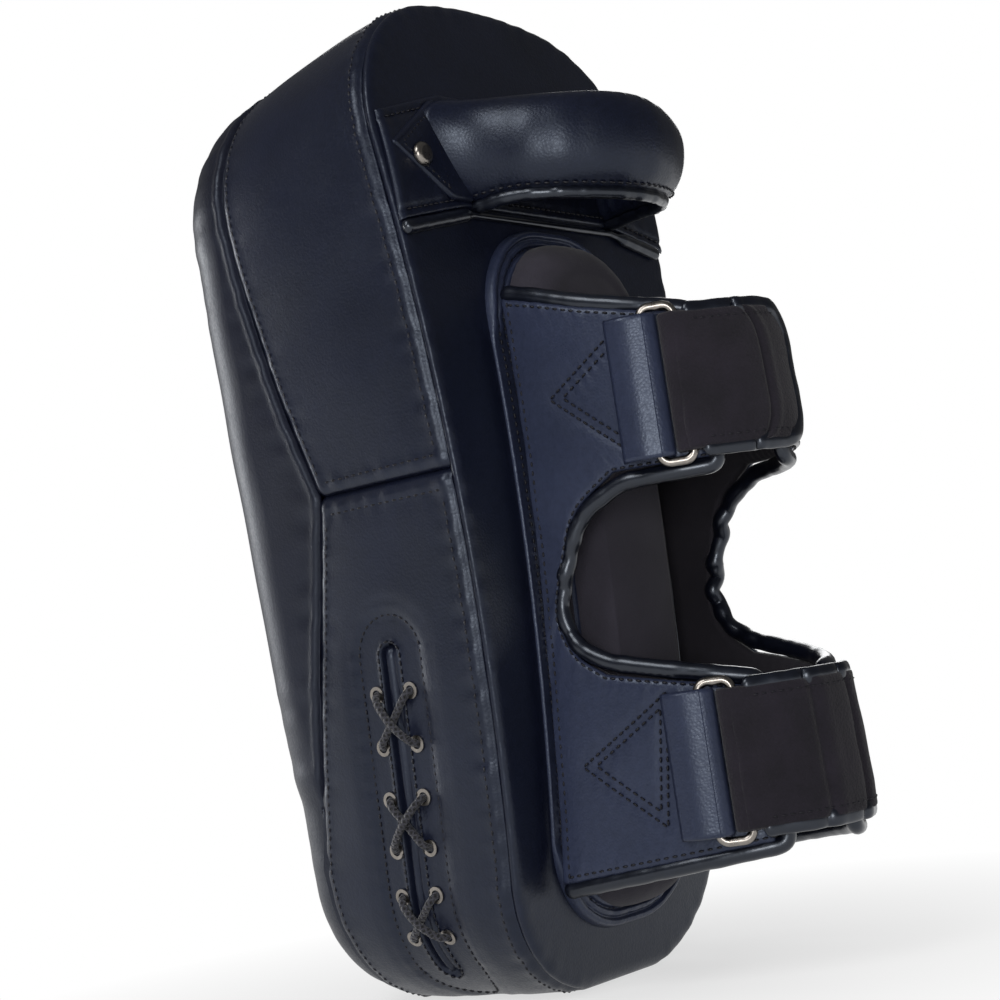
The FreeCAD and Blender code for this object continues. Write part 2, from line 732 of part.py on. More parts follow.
def arch_rod(ellipse, radius, middle):
    """Round rod along the outer half of an ellipse, cut flush at the band."""
    path = Part.Wire(ellipse.toShape())
    edge = path.Edges[0]
    start = edge.valueAt(edge.FirstParameter)
    heading = edge.tangentAt(edge.FirstParameter)
    ring = Part.Wire(Part.makeCircle(radius, start, heading))
    rod = path.makePipeShell([ring], True, False)
    low = (middle.x - REACH, middle.y - REACH, middle.z - 10)
    high = (middle.x + REACH, middle.y + size("grip_root"), middle.z + 10)
    return rod.common(box_between(low, high))


def build_end_tabs():
    """Two pointed leather tabs that hold the grip's ends, with their domed rivets."""
    names = (("grip_end_tab_left", "grip_rivet_left", -1), ("grip_end_tab_right", "grip_rivet_right", 1))
    for tab_label, rivet_label, side in names:
        body = new_body(tab_label)
        sketch = new_sketch(body, tab_label + "_outline", "XZ_Plane")
        sign = "-" if side < 0 else ""
        foot = size("end_tab_foot_x") * side
        low = size("end_tab_low_z")
        high = size("end_tab_high_z")
        middle = "(Sizes.end_tab_low_z + Sizes.end_tab_high_z) / 2"
        foot_text = sign + "Sizes.end_tab_foot_x"
        if side > 0:
            foot = foot + 2 * size("grip_middle_x")
            foot_text = foot_text + " + 2 * Sizes.grip_middle_x"
        corners = [
            (foot, low, foot_text, "Sizes.end_tab_low_z"),
            (foot, high, foot_text, "Sizes.end_tab_high_z"),
            (size("end_tab_apex_x") * side, (low + high) / 2, sign + "Sizes.end_tab_apex_x", middle),
        ]
        draw_polygon(sketch, "Tab", corners)
        pad(body, tab_label + "_leather", sketch, "Sizes.end_tab_thickness")
        document.recompute()
        face = back_y(low, size("band_thickness") + 2 * size("fit_gap"))
        tilt = (back_y(high) - back_y(low)) / (high - low)
        base = body.Shape.BoundBox
        place = FreeCAD.Placement(Vector(0, face - base.YMax, 0), FreeCAD.Rotation())
        turn = FreeCAD.Rotation(X_AXIS, -math.degrees(math.atan(tilt)))
        body.Placement = FreeCAD.Placement(Vector(0, face, low), turn).multiply(
            FreeCAD.Placement(Vector(0, -base.YMax, -low), FreeCAD.Rotation()))
        rivet = new_body(rivet_label)
        head = new_sketch(rivet, rivet_label + "_head", "XY_Plane")
        draw_circle(head, "HeadRadius", size("rivet_radius"), "Sizes.rivet_radius")
        disc = pad(rivet, rivet_label + "_disc", head, "Sizes.rivet_height")
        document.recompute()
        dome = rivet.newObject("PartDesign::Fillet", rivet_label + "_dome")
        dome.Base = (disc, top_edge_names(disc.Shape))
        dome.setExpression("Radius", "Sizes.rivet_dome")
        height = size("rivet_z")
        depth = 3 * size("fit_gap") + size("band_thickness") + size("end_tab_thickness")
        rivet.Placement = FreeCAD.Placement(
            Vector(size("rivet_x") * side, back_y(height, depth) - 0.2, height),
            FreeCAD.Rotation(X_AXIS, 90))


def top_edge_names(shape):
    """Names of the edges that lie in the highest plane of a shape."""
    top = shape.BoundBox.ZMax
    names = []
    for number, edge in enumerate(shape.Edges, start=1):
        if edge.BoundBox.ZMin > top - 0.01:
            names.append("Edge%d" % number)
    return names


# Sleeve base and forearm cushion

def rounded_rectangle(half, low, top, radius, grow=0.0):
    """Rounded rectangle in the XZ plane, grown by grow."""
    half = half + grow
    low = low - grow
    top = top + grow
    radius = radius + grow
    bend = radius * (1 - math.sqrt(0.5))
    edges = []
    corners = ((half, low), (half, top), (-half, top), (-half, low))
    previous = None
    first = None
    for x, z in corners:
        sign_x = 1 if x > 0 else -1
        sign_z = 1 if z == top else -1
        along_x = Vector(x - sign_x * radius, 0, z)
        along_z = Vector(x, 0, z - sign_z * radius)
        middle = Vector(x - sign_x * bend, 0, z - sign_z * bend)
        if sign_x * sign_z < 0:
            start, end = along_x, along_z
        else:
            start, end = along_z, along_x
        if previous is None:
            first = start
        else:
            edges.append(Part.LineSegment(previous, start).toShape())
        edges.append(Part.Arc(start, middle, end).toShape())
        previous = end
    edges.append(Part.LineSegment(previous, first).toShape())
    return Part.Wire(edges)


def sleeve_outline(grow):
    """Outline of the sleeve base, grown by grow."""
    return rounded_rectangle(size("sleeve_base_half_width"), size("sleeve_base_low_z"),
                             size("sleeve_base_top_z"), size("sleeve_base_radius"), grow)


def build_sleeve_base():
    """Padded base of the sleeve on the back panel, with its bound rim."""
    gap = size("fit_gap")
    top = gap + size("sleeve_base_thickness")
    rim = size("rim_width")
    plate = back_layer(gap, top).common(prism_along_y(sleeve_outline(-rim - gap), -120, 0))
    add_shape("sleeve_base", plate)
    ring = prism_along_y(sleeve_outline(0), -120, 0).cut(prism_along_y(sleeve_outline(-rim), -120, 0))
    add_shape("sleeve_base_binding", back_layer(gap, top - 1).common(ring))


def cushion_block(inset):
    """Domed forearm cushion, moved in by inset on all sides."""
    bottom = 2 * size("fit_gap") + size("sleeve_base_thickness")
    margin = size("cushion_margin")
    low = size("sleeve_base_low_z") + margin
    top = size("sleeve_base_top_z") - margin
    half = size("cushion_half_width")
    outline = rounded_rectangle(half, low, top, half - 4, -inset)
    block = back_layer(bottom + inset, bottom + size("cushion_thickness") - inset)
    block = block.common(prism_along_y(outline, -130, 0))
    edges = outer_edges(block, bottom + size("cushion_thickness") - inset)
    return block.Solids[0].makeFillet(size("cushion_rounding") - inset, edges)


def outer_edges(shape, offset):
    """Edges that lie on the bowed surface at one offset outward from the back."""
    radius = size("back_radius") + offset - 0.05
    centre_y = size("back_peak_y") + size("back_radius")
    found = []
    for edge in shape.Edges:
        reaches = [math.hypot(v.Y - centre_y, v.Z - size("back_peak_z")) for v in edge.Vertexes]
        if min(reaches) > radius:
            found.append(edge)
    return found


def build_cushion():
    """Neoprene cover and foam of the forearm cushion."""
    skin = size("cushion_skin")
    add_shape("forearm_cushion_cover", cushion_block(0).cut(cushion_block(skin)))
    add_shape("forearm_cushion_foam", cushion_block(skin + size("fit_gap")))


# Cuffs: a skin, a lining and a bound edge cut from nested elliptical shells

def cuff_share(height):
    """How far up the cuffs a height lies."""
    return (height - size("cuff_low_z")) / (size("cuff_top_front_z") - size("cuff_low_z"))


def cuff_root(height):
    """Y where the cuffs' ellipse begins."""
    share = cuff_share(height)
    return size("cuff_root_low") + share * (size("cuff_root_top") - size("cuff_root_low"))


def cuff_depth(height):
    """Depth of the cuffs' ellipse."""
    share = cuff_share(height)
    return size("cuff_depth_low") + share * (size("cuff_depth_top") - size("cuff_depth_low"))


def cuff_half(height):
    """Half width of the cuffs' ellipse."""
    share = cuff_share(height)
    return size("cuff_half_low") + share * (size("cuff_half_top") - size("cuff_half_low"))


def cuff_point(angle, height, lift):
    """Point on the cuffs at an angle from the -X root, lifted outward."""
    a = cuff_half(height) + lift
    b = cuff_depth(height) + lift
    turn = math.radians(angle)
    return Vector(-a * math.cos(turn), cuff_root(height) - b * math.sin(turn), height)


def cuff_section(height, lift):
    """Arch of the cuffs at one height: two straight legs and the half ellipse."""
    leg_y = -40.0
    near = cuff_point(0, height, lift)
    crown = cuff_point(90, height, lift)
    far = cuff_point(180, height, lift)
    centre = Vector(0, cuff_root(height), height)
    ellipse = Part.Ellipse(crown, far, centre)
    arc = Part.ArcOfEllipse(ellipse, ellipse.parameter(near), ellipse.parameter(far)).toShape()
    points = [arc.valueAt(arc.FirstParameter), arc.valueAt(arc.LastParameter)]
    start = Vector(points[0].x, leg_y, height)
    end = Vector(points[1].x, leg_y, height)
    return Part.Wire([
        Part.LineSegment(start, points[0]).toShape(),
        arc,
        Part.LineSegment(points[1], end).toShape(),
        Part.LineSegment(end, start).toShape(),
    ])


def cuff_core(lift, low, high):
    """Everything inside the cuffs' surface, lifted outward, between two heights."""
    return Part.makeLoft([cuff_section(low, lift), cuff_section(high, lift)], True, True)


def cuff_layer(inner, outer, low, high):
    """Shell of the cuffs between two lifts and two heights, outside the sleeve base."""
    layer = cuff_core(outer, low, high).cut(cuff_core(inner, low - 1, high + 1))
    seat = 2 * size("fit_gap") + size("sleeve_base_thickness")
    return layer.cut(back_cylinder(seat))


def cuff_outline(inset, root_extra=0.0):
    """Outline of both cuffs and the root strip between them, in the YZ plane."""
    front = -190.0 - inset
    low = size("cuff_low_z")
    top = size("cuff_top_z")
    top_front = size("cuff_top_front_z")
    notch_top = size("notch_top_z")
    root = size("notch_root_y") - root_extra
    notch_low = size("notch_low_z")
    points = [
        Vector(0, front, size("cuff_low_front_z") + 3), Vector(0, -30, low - 2), Vector(0, -30, top + 8), Vector(0, -66, top),
        Vector(0, -100, top - 11), Vector(0, -150, top_front - 2), Vector(0, front, top_front - 5),
        Vector(0, front, notch_top + 1), Vector(0, root - 35, notch_top - 1),
        Vector(0, root - 16, notch_top - 11), Vector(0, root - 7, notch_top - 26),
        Vector(0, root, (notch_top + notch_low) / 2 - 12), Vector(0, root - 19, notch_low),
        Vector(0, front, size("notch_low_front_z") - 1),
    ]
    p = points
    edges = [
        Part.LineSegment(p[0], p[1]).toShape(),
        Part.LineSegment(p[1], p[2]).toShape(),
        Part.LineSegment(p[2], p[3]).toShape(),
        Part.Arc(p[3], p[4], p[5]).toShape(),
        Part.LineSegment(p[5], p[6]).toShape(),
        Part.LineSegment(p[6], p[7]).toShape(),
        Part.LineSegment(p[7], p[8]).toShape(),
        Part.Arc(p[8], p[9], p[10]).toShape(),
        Part.Arc(p[10], p[11], p[12]).toShape(),
        Part.LineSegment(p[12], p[13]).toShape(),
        Part.LineSegment(p[13], p[0]).toShape(),
    ]
    wire = Part.Wire(edges)
    if inset:
        wire = wire.makeOffset2D(-inset)
    return wire


def build_cuffs():
    """Two C-shaped sleeve pieces, each of skin, lining and bound edge."""
    low = size("cuff_low_z") - 4
    high = size("cuff_top_z") + 12
    skin = size("cuff_skin")
    gap = size("fit_gap")
    lining = skin + gap + size("cuff_lining")
    binding = size("cuff_binding")
    sides = (
        ("near_sleeve", -REACH, size("near_flap_x"), 0.0),
        ("far_sleeve", size("far_flap_x"), REACH, size("far_root_extra")),
    )
    skin_shell = cuff_layer(-skin, 0, low, high)
    lining_shell = cuff_layer(-lining, -skin - gap, low, high)
    binding_shell = cuff_layer(-lining - 0.8, 0.5, low, high)
    for label, start, end, extra in sides:
        inner = prism_along_x(cuff_outline(binding, extra), start, end)
        tight = prism_along_x(cuff_outline(binding - gap, extra), start, end)
        outer = prism_along_x(cuff_outline(0, extra), start, end)
        add_shape(label, skin_shell.common(inner))
        add_shape(label + "_lining", lining_shell.common(inner))
        add_shape(label + "_binding", binding_shell.common(outer.cut(tight)))


# Ring tabs, rings and straps

def strap_frame(height):
    """Bar centre, tangent and outward normal of a strap's ring at one height."""
    angle = math.radians(size("ring_angle"))
    a = cuff_half(height)
    b = cuff_depth(height)
    tangent = Vector(a * math.sin(angle), -b * math.cos(angle), 0).normalize()
    outward = Vector(tangent.y, -tangent.x, 0)
    surface = cuff_point(size("ring_angle"), height, 0)
    return surface + outward * size("ring_lift"), tangent, outward


def frame_placement(origin, tangent):
    """Placement with local X along the tangent, local Y into the cuff and Z up."""
    return FreeCAD.Placement(origin, FreeCAD.Rotation(Z_AXIS, math.degrees(math.atan2(tangent.y, tangent.x))))


def build_ring(label, height):
    """Rectangular wire ring, its strap bar on the local Z axis."""
    body = new_body(label)
    width = size("ring_width")
    half = size("ring_half_length")
    corner = size("ring_corner")
    path = new_sketch(body, label + "_path", "XZ_Plane")
    lines = [
        ((0, -half + corner), (0, half - corner)), ((-corner, half), (-width + corner, half)),
        ((-width, half - corner), (-width, -half + corner)), ((-width + corner, -half), (-corner, -half)),
    ]
    for start, end in lines:
        path.addGeometry(Part.LineSegment(Vector(start[0], start[1], 0), Vector(end[0], end[1], 0)), False)
    arcs = [
        (-corner, half - corner, 0.0, 90.0), (-width + corner, half - corner, 90.0, 180.0),
        (-width + corner, -half + corner, 180.0, 270.0), (-corner, -half + corner, 270.0, 360.0),
    ]
    for x, y, start, end in arcs:
        circle = Part.Circle(Vector(x, y, 0), Z_AXIS, corner)
        path.addGeometry(Part.ArcOfCircle(circle, math.radians(start), math.radians(end)), False)
    joints = [(0, 2, 4, 1), (4, 2, 1, 1), (1, 2, 5, 1), (5, 2, 2, 1), (2, 2, 6, 1), (6, 2, 3, 1), (3, 2, 7, 1), (7, 2, 0, 1)]
    for first, first_end, second, second_end in joints:
        path.addConstraint(Sketcher.Constraint("Tangent", first, first_end, second, second_end))
    path.addConstraint(Sketcher.Constraint("Vertical", 0))
    path.addConstraint(Sketcher.Constraint("PointOnObject", 0, 1, -2))
    path.addConstraint(Sketcher.Constraint("Equal", 4, 5))
    path.addConstraint(Sketcher.Constraint("Equal", 4, 6))
    path.addConstraint(Sketcher.Constraint("Equal", 4, 7))
    drive(path, Sketcher.Constraint("Radius", 4, corner), "Corner", "Sizes.ring_corner")
    width_text = "Sizes.ring_width - 2 * Sizes.ring_corner"
    drive(path, Sketcher.Constraint("DistanceX", 1, 2, 1, 1, width - 2 * corner), "Width", width_text)
    high_text = "Sizes.ring_half_length - Sizes.ring_corner"
    drive(path, Sketcher.Constraint("DistanceY", -1, 1, 0, 2, half - corner), "High", high_text)
    drive(path, Sketcher.Constraint("DistanceY", 0, 1, -1, 1, half - corner), "Low", high_text)
    wire = new_sketch(body, label + "_wire", "XY_Plane")
    draw_circle(wire, "WireRadius", size("ring_wire_radius"), "Sizes.ring_wire_radius")
    document.recompute()
    pipe = body.newObject("PartDesign::AdditivePipe", label + "_pipe")
    pipe.Profile = wire
    pipe.Spine = (path, ["Edge%d" % number for number in range(1, 9)])
    pipe.Transition = "Transformed"
    document.recompute()
    origin, tangent, outward = strap_frame(height)
    body.Placement = frame_placement(origin, tangent)
    return body


def build_ring_tab(label, height):
    """Leather tab that lies on the near cuff and folds round the ring's other bar."""
    body = new_body(label)
    thick = 2 * size("strap_thickness")
    floor_y = size("ring_lift") - size("fit_gap") - 0.3
    thick_text = "2 * Sizes.strap_thickness"
    floor_text = "Sizes.ring_lift - Sizes.fit_gap - 0.3"
    sketch = new_sketch(body, label + "_strip", "XY_Plane")
    corners = [
        (-size("tab_length"), floor_y, "-Sizes.tab_length", floor_text),
        (0, floor_y, "0", floor_text),
        (0, floor_y - thick, "0", floor_text + " - " + thick_text),
        (-size("tab_length"), floor_y - thick, "-Sizes.tab_length", floor_text + " - " + thick_text),
    ]
    draw_polygon(sketch, "Strip", corners)
    pad(body, label + "_leather", sketch, "2 * Sizes.strap_half_width", True)
    fold = new_sketch(body, label + "_fold", "XY_Plane")
    draw_circle(fold, "FoldRadius", 4.1, "Sizes.fold_bore + Sizes.strap_thickness")
    pad(body, label + "_loop", fold, "2 * Sizes.strap_half_width", True)
    hole = new_sketch(body, label + "_hole", "XY_Plane")
    draw_circle(hole, "HoleRadius", 2.1, "Sizes.fold_bore")
    pocket = body.newObject("PartDesign::Pocket", label + "_bore")
    pocket.Profile = hole
    pocket.Midplane = True
    pocket.setExpression("Length", "2 * Sizes.strap_half_width + 2")
    document.recompute()
    origin, tangent, outward = strap_frame(height)
    body.Placement = frame_placement(origin - tangent * size("ring_width"), tangent)
    return body


def strap_box(height, start_x, end_x):
    """Box that limits a strap across the cuffs."""
    half = size("strap_half_width")
    return box_between((start_x, -REACH - 60, height - half), (end_x, -60, height + half))


def strap_layer(height, lift, thickness):
    """Layer of a strap over the cuffs."""
    half = size("strap_half_width")
    return cuff_layer(lift, lift + thickness, height - half - 2, height + half + 2)


def build_strap(label, height):
    """Strap from the far cuff, folded round the ring's strap bar."""
    origin, tangent, outward = strap_frame(height)
    half = size("strap_half_width")
    thickness = size("strap_thickness")
    low = Vector(origin.x, origin.y, height - half)
    loop = Part.makeCylinder(size("fold_bore") + thickness, 2 * half, low, Z_AXIS)
    layer = strap_layer(height, size("strap_lift"), thickness)
    layer = layer.common(strap_box(height, origin.x, size("strap_end_x")))
    bore = Part.makeCylinder(size("fold_bore"), 2 * half + 2, low - Z_AXIS, Z_AXIS)
    add_shape(label, layer.fuse(loop).cut(bore).removeSplitter())


def tail_end_prism(height, end_x):
    """Prism along Y that rounds the free end of a tail."""
    half = size("strap_half_width")
    wire = rounded_rectangle(REACH, height - half, height + half, size("tail_end_radius"))
    wire.translate(Vector(end_x - REACH, 0, 0))
    return prism_along_y(wire, -REACH - 60, -60)


def build_tail(label, height, end_x):
    """Folded back end of a strap with the hook patch under it, which opens about the strap bar."""
    origin, tangent, outward = strap_frame(height)
    half = size("strap_half_width")
    room = Part.makeCylinder(size("fold_bore") + size("tail_clearance"), 4 * half,
                             Vector(origin.x, origin.y, height - 2 * half), Z_AXIS)
    keep = strap_box(height, origin.x + 2, REACH).common(tail_end_prism(height, end_x))
    lift = size("tail_lift")
    tail = strap_layer(height, lift, size("tail_thickness")).common(keep).cut(room)
    add_shape(label, tail)
    thin = size("hook_thickness")
    hook = strap_layer(height, lift - size("fit_gap") - thin, thin).common(keep).cut(room)
    inner = strap_box(height, origin.x + 14, end_x - 5)
    inner = inner.common(box_between((-REACH, -REACH - 60, height - half + 4), (REACH, 0, height + half - 4)))
    add_shape(label.replace("tail", "hook_patch"), hook.common(inner))


def build_closures():
    """Rings, tabs, straps and tails of both cuffs."""
    for name in ("upper", "lower"):
        height = size(name + "_strap_z")
        build_ring(name + "_ring", height)
        build_ring_tab(name + "_ring_tab", height)
        build_strap(name + "_strap", height)
        build_tail(name + "_strap_tail", height, size(name + "_tail_end_x"))
        origin = strap_frame(height)[0]
        print("%s strap bar at %.2f %.2f %.2f" % (name, origin.x, origin.y, origin.z))


# Build, check and export

build_foam()
build_cover()
build_facing()
build_tongue()
build_eyelets()
build_lace()
build_band()
build_grip()
build_end_tabs()
build_sleeve_base()
build_cushion()
build_cuffs()
build_closures()
document.recompute()

for item in document.Objects:
    if "Invalid" in item.State or "Error" in item.State:
        raise RuntimeError("%s failed: %s" % (item.Label, item.State))

os.makedirs("parts", exist_ok=True)
for item in exports:
    shape = item.Shape
    if shape.isNull() or not shape.isValid() or not shape.Solids:
        raise RuntimeError(item.Label + " has no sound solid")
    shape.exportStep("parts/%s.step" % item.Label)
    print("%s %d solids %.1f cm3" % (item.Label, len(shape.Solids), shape.Volume / 1000))
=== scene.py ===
import math

import bmesh
import bpy
import numpy as np
from mathutils import Matrix


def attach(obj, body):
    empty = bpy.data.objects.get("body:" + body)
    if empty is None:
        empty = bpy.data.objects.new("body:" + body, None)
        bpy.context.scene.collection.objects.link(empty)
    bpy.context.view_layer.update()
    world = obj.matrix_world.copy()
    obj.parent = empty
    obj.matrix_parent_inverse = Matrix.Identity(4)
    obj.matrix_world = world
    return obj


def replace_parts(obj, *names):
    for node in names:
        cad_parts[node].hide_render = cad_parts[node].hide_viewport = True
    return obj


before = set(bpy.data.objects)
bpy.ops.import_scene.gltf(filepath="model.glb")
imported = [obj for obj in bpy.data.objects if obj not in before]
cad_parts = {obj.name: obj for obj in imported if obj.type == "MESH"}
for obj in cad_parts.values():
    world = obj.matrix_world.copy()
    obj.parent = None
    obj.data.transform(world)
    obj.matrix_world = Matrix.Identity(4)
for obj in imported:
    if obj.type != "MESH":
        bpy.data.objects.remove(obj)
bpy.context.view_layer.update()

# A laced striking pad with a forearm sleeve. Lengths are in millimetres until a mesh is made.

METRES = 0.001


# Sheets and rolls as grids of points

def unit(vectors):
    """Vectors divided by their length."""
    return vectors / np.maximum(np.linalg.norm(vectors, axis=-1, keepdims=True), 1e-9)


def lengths_along(path):
    """Length from a path's start to each of its points."""
    steps = np.linalg.norm(np.diff(path, axis=0), axis=1)
    return np.concatenate([[0.0], np.cumsum(steps)])


def resample(path, step, *others):
    """The path at even steps, and other columns with it, each read linearly between its points."""
    along = lengths_along(path)
    count = max(int(round(along[-1] / step)), 3) + 1
    wanted = np.linspace(0, along[-1], count)

    def read(table):
        table = np.asarray(table, float)
        if table.ndim == 1:
            return np.interp(wanted, along, table)
        return np.stack([np.interp(wanted, along, table[:, i]) for i in range(table.shape[1])], axis=1)

    found = [read(path)] + [read(table) for table in others]
    return found if others else found[0]


def smooth_path(points, share=12):
    """A smooth path that passes each given point: cubic pieces whose slope at a point is half
    the step between its neighbours."""
    points = np.asarray(points, float)
    padded = np.concatenate([[2 * points[0] - points[1]], points, [2 * points[-1] - points[-2]]])
    t = np.linspace(0, 1, share, endpoint=False)[None, :, None]
    a, b, c, d = (padded[i:len(padded) - 3 + i][:, None, :] for i in range(4))
    curve = 0.5 * (2 * b + (c - a) * t + (2 * a - 5 * b + 4 * c - d) * t ** 2
                   + (3 * b - a - 3 * c + d) * t ** 3)
    return np.concatenate([curve.reshape(-1, points.shape[1]), points[-1:]])


def soft_route(points, share=10):
    """A soft path led by its points: squared pieces that touch the middle of each run."""
    points = np.asarray(points, float)
    middles = (points[1:] + points[:-1]) / 2
    t = np.linspace(0, 1, share, endpoint=False)[None, :, None]
    a, b, c = middles[:-1][:, None, :], points[1:-1][:, None, :], middles[1:][:, None, :]
    curve = a * (1 - t) ** 2 + 2 * b * t * (1 - t) + c * t ** 2
    return np.concatenate([points[:1], curve.reshape(-1, 3), middles[-1:], points[-1:]])


def grid_faces(rows, columns, wrap_rows=False, wrap_columns=False):
    """Four-cornered faces between neighbouring points of a grid."""
    r = np.arange(rows if wrap_rows else rows - 1)
    c = np.arange(columns if wrap_columns else columns - 1)
    i, j = np.meshgrid(r, c, indexing="ij")
    i2, j2 = (i + 1) % rows, (j + 1) % columns
    corners = [i * columns + j, i2 * columns + j, i2 * columns + j2, i * columns + j2]
    return np.stack(corners, -1).reshape(-1, 4)


def make_piece(name, points, faces, finish, slot, body="pad", uv=None, turn=False, closed=True):
    """One object at the origin from points in millimetres. Doubles are merged; a closed shape has its
    faces turned outwards."""
    points = np.asarray(points, float).reshape(-1, 3)
    faces = np.asarray(faces, int).reshape(-1, 4)
    if turn:
        faces = faces[:, ::-1]
    mesh = bpy.data.meshes.new(name)
    mesh.vertices.add(len(points))
    mesh.vertices.foreach_set("co", (points * METRES).ravel())
    mesh.loops.add(faces.size)
    mesh.loops.foreach_set("vertex_index", faces.ravel().astype(np.int32))
    mesh.polygons.add(len(faces))
    mesh.polygons.foreach_set("loop_start", (np.arange(len(faces)) * 4).astype(np.int32))
    if uv is not None:
        layer = mesh.uv_layers.new(name="Cloth")
        flat = np.asarray(uv, float).reshape(-1, 2)[faces.ravel()] * METRES
        layer.data.foreach_set("uv", flat.ravel())
    mesh.update(calc_edges=True)
    work = bmesh.new()
    work.from_mesh(mesh)
    bmesh.ops.remove_doubles(work, verts=work.verts, dist=2e-6)
    bmesh.ops.dissolve_degenerate(work, edges=work.edges, dist=1e-7)
    if closed:
        bmesh.ops.recalc_face_normals(work, faces=work.faces)
    work.to_mesh(mesh)
    work.free()
    mesh.polygons.foreach_set("use_smooth", np.ones(len(mesh.polygons), bool))
    mesh.update()
    piece = bpy.data.objects.new(name, mesh)
    bpy.context.scene.collection.objects.link(piece)
    piece.data.materials.append(finish)
    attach(piece, body)
    return piece


def normals_of(points):
    """Normals of a grid: the cross product of its two slopes."""
    return unit(np.cross(np.gradient(points, axis=0), np.gradient(points, axis=1)))


def grid_lengths(points):
    """Length along the rows and along the columns at each grid point, as cloth coordinates."""
    down = np.linalg.norm(np.diff(points, axis=0), axis=2).mean(axis=1)
    across = np.linalg.norm(np.diff(points, axis=1), axis=2).mean(axis=0)
    u = np.concatenate([[0], np.cumsum(down)])
    v = np.concatenate([[0], np.cumsum(across)])
    return np.stack(np.meshgrid(u, v, indexing="ij"), axis=-1)


def slab(name, outer, inner, finish, slot, **more):
    """A closed sheet: its outer grid, its inner grid and the rim between their edges."""
    rows, columns = outer.shape[:2]
    points = np.concatenate([outer, inner[:, ::-1]], axis=1)
    lengths = grid_lengths(outer)
    uv = np.concatenate([lengths, lengths[:, ::-1]], axis=1)
    faces = grid_faces(rows, 2 * columns, wrap_columns=True)
    j = np.arange(columns - 1)
    ends = []
    for row in (0, rows - 1):
        first = row * 2 * columns
        last = first + 2 * columns - 1
        ends.append(np.stack([first + j, first + j + 1, last - 1 - j, last - j], -1))
    return make_piece(name, points, np.concatenate([faces] + ends), finish, slot, uv=uv, **more)


def bell(value, middle, width):
    """Bell curve: 1 at the middle, falling to a third one width away from it."""
    return np.exp(-((value - middle) / width) ** 2)


def quarter_round(share, least=0.0):
    """Rises from 0 to 1 as a quarter circle does; least bounds its square from below."""
    return np.sqrt(np.clip(1 - (1 - np.clip(share, 0, 1)) ** 2, least, 1))


def pillow(shape, edge):
    """1 in the middle of a grid and 0 at its edges, rounded over the given number of steps."""
    i = np.arange(shape[0])[:, None]
    j = np.arange(shape[1])[None, :]
    near = np.minimum(np.minimum(i, shape[0] - 1 - i), np.minimum(j, shape[1] - 1 - j)) / edge
    return quarter_round(near)


def tube_grid(path, facing, radius, sides, high):
    """Rings round a path: at angle a a point lies cos a across and sin a along the facing,
    times the radius, which falls to nothing as a quarter circle at both ends."""
    tangent = unit(np.gradient(path, axis=0))
    across = unit(np.cross(tangent, facing))
    up = np.cross(across, tangent)
    radius = np.broadcast_to(np.asarray(radius, float), len(path)).copy()
    along = lengths_along(path)
    room = np.minimum(along, along[-1] - along) / radius.mean()
    radius = radius * quarter_round(room, 0.0004)
    angle = np.linspace(0, 2 * np.pi, sides, endpoint=False)
    ring = np.cos(angle)[None, :, None] * across[:, None, :]
    ring = ring + high * np.sin(angle)[None, :, None] * up[:, None, :]
    return path[:, None, :] + radius[:, None, None] * ring


def roll(name, path, facing, radius, finish, slot, sides=16, high=1.0, **more):
    """A round roll along a path, as a tube grid with its ends closed."""
    points = tube_grid(path, facing, radius, sides, high)
    lengths = grid_lengths(points)
    first, last = (np.repeat(points[end].mean(0)[None, None], sides, 1) for end in (0, -1))
    points = np.concatenate([first, points, last])
    lengths = np.concatenate([lengths[:1], lengths, lengths[-1:]])
    faces = grid_faces(len(points), sides, wrap_columns=True)
    return make_piece(name, points, faces, finish, slot, uv=lengths, **more)


STITCHES = {}


def stitch_row(group, path, facing, pitch=3.6, length=2.6, radius=0.50, sink=-0.05):
    """Thread stitches along a path at an even pitch. Each is a small closed grain: five rings of
    six points, slim at both ends and bowed into the surface there."""
    path, facing = resample(path, 0.6, facing)
    along = lengths_along(path)
    count = max(int(along[-1] / pitch), 1)
    middle = (np.arange(count) + 0.5) * along[-1] / count
    read = lambda table, at: np.stack([np.interp(at, along, table[:, i]) for i in range(3)], axis=1)
    centre = read(path, middle)
    tangent = unit(read(path, middle + 0.5) - read(path, middle - 0.5))
    up = unit(read(facing, middle))
    across = unit(np.cross(tangent, up))
    up = np.cross(across, tangent)
    share = np.array([0.0, 0.12, 0.5, 0.88, 1.0])
    size = np.array([0.02, 0.75, 1.0, 0.75, 0.02])
    bow = -0.55 * (2 * share - 1) ** 2 * radius * 1.6
    angle = np.arange(6) * np.pi / 3
    ring_a = (radius * size)[:, None] * np.cos(angle)[None, :]
    ring_u = (radius * size)[:, None] * np.sin(angle)[None, :] + bow[:, None] - sink
    reach = ((share - 0.5) * length)[:, None] * np.ones(6)[None, :]
    points = (centre[:, None, None, :] + reach[None, :, :, None] * tangent[:, None, None, :]
              + ring_a[None, :, :, None] * across[:, None, None, :]
              + ring_u[None, :, :, None] * up[:, None, None, :])
    STITCHES.setdefault(group, []).append(points)


def sew(group, finish, slot, body="pad"):
    """All stitch rows of one group as one piece."""
    points = np.concatenate(STITCHES[group]).reshape(-1, 30, 3)
    faces = grid_faces(5, 6, wrap_columns=True)
    faces = (faces[None] + 30 * np.arange(len(points))[:, None, None]).reshape(-1, 4)
    return make_piece(group, points, faces, finish, slot, body=body)


def ripple(along, *waves):
    """Irregular gathers along a seam: the sum of sines, each with a length, a height and a shift."""
    return sum(height * np.sin(2 * np.pi * along / wave_length + shift)
               for wave_length, height, shift in waves)


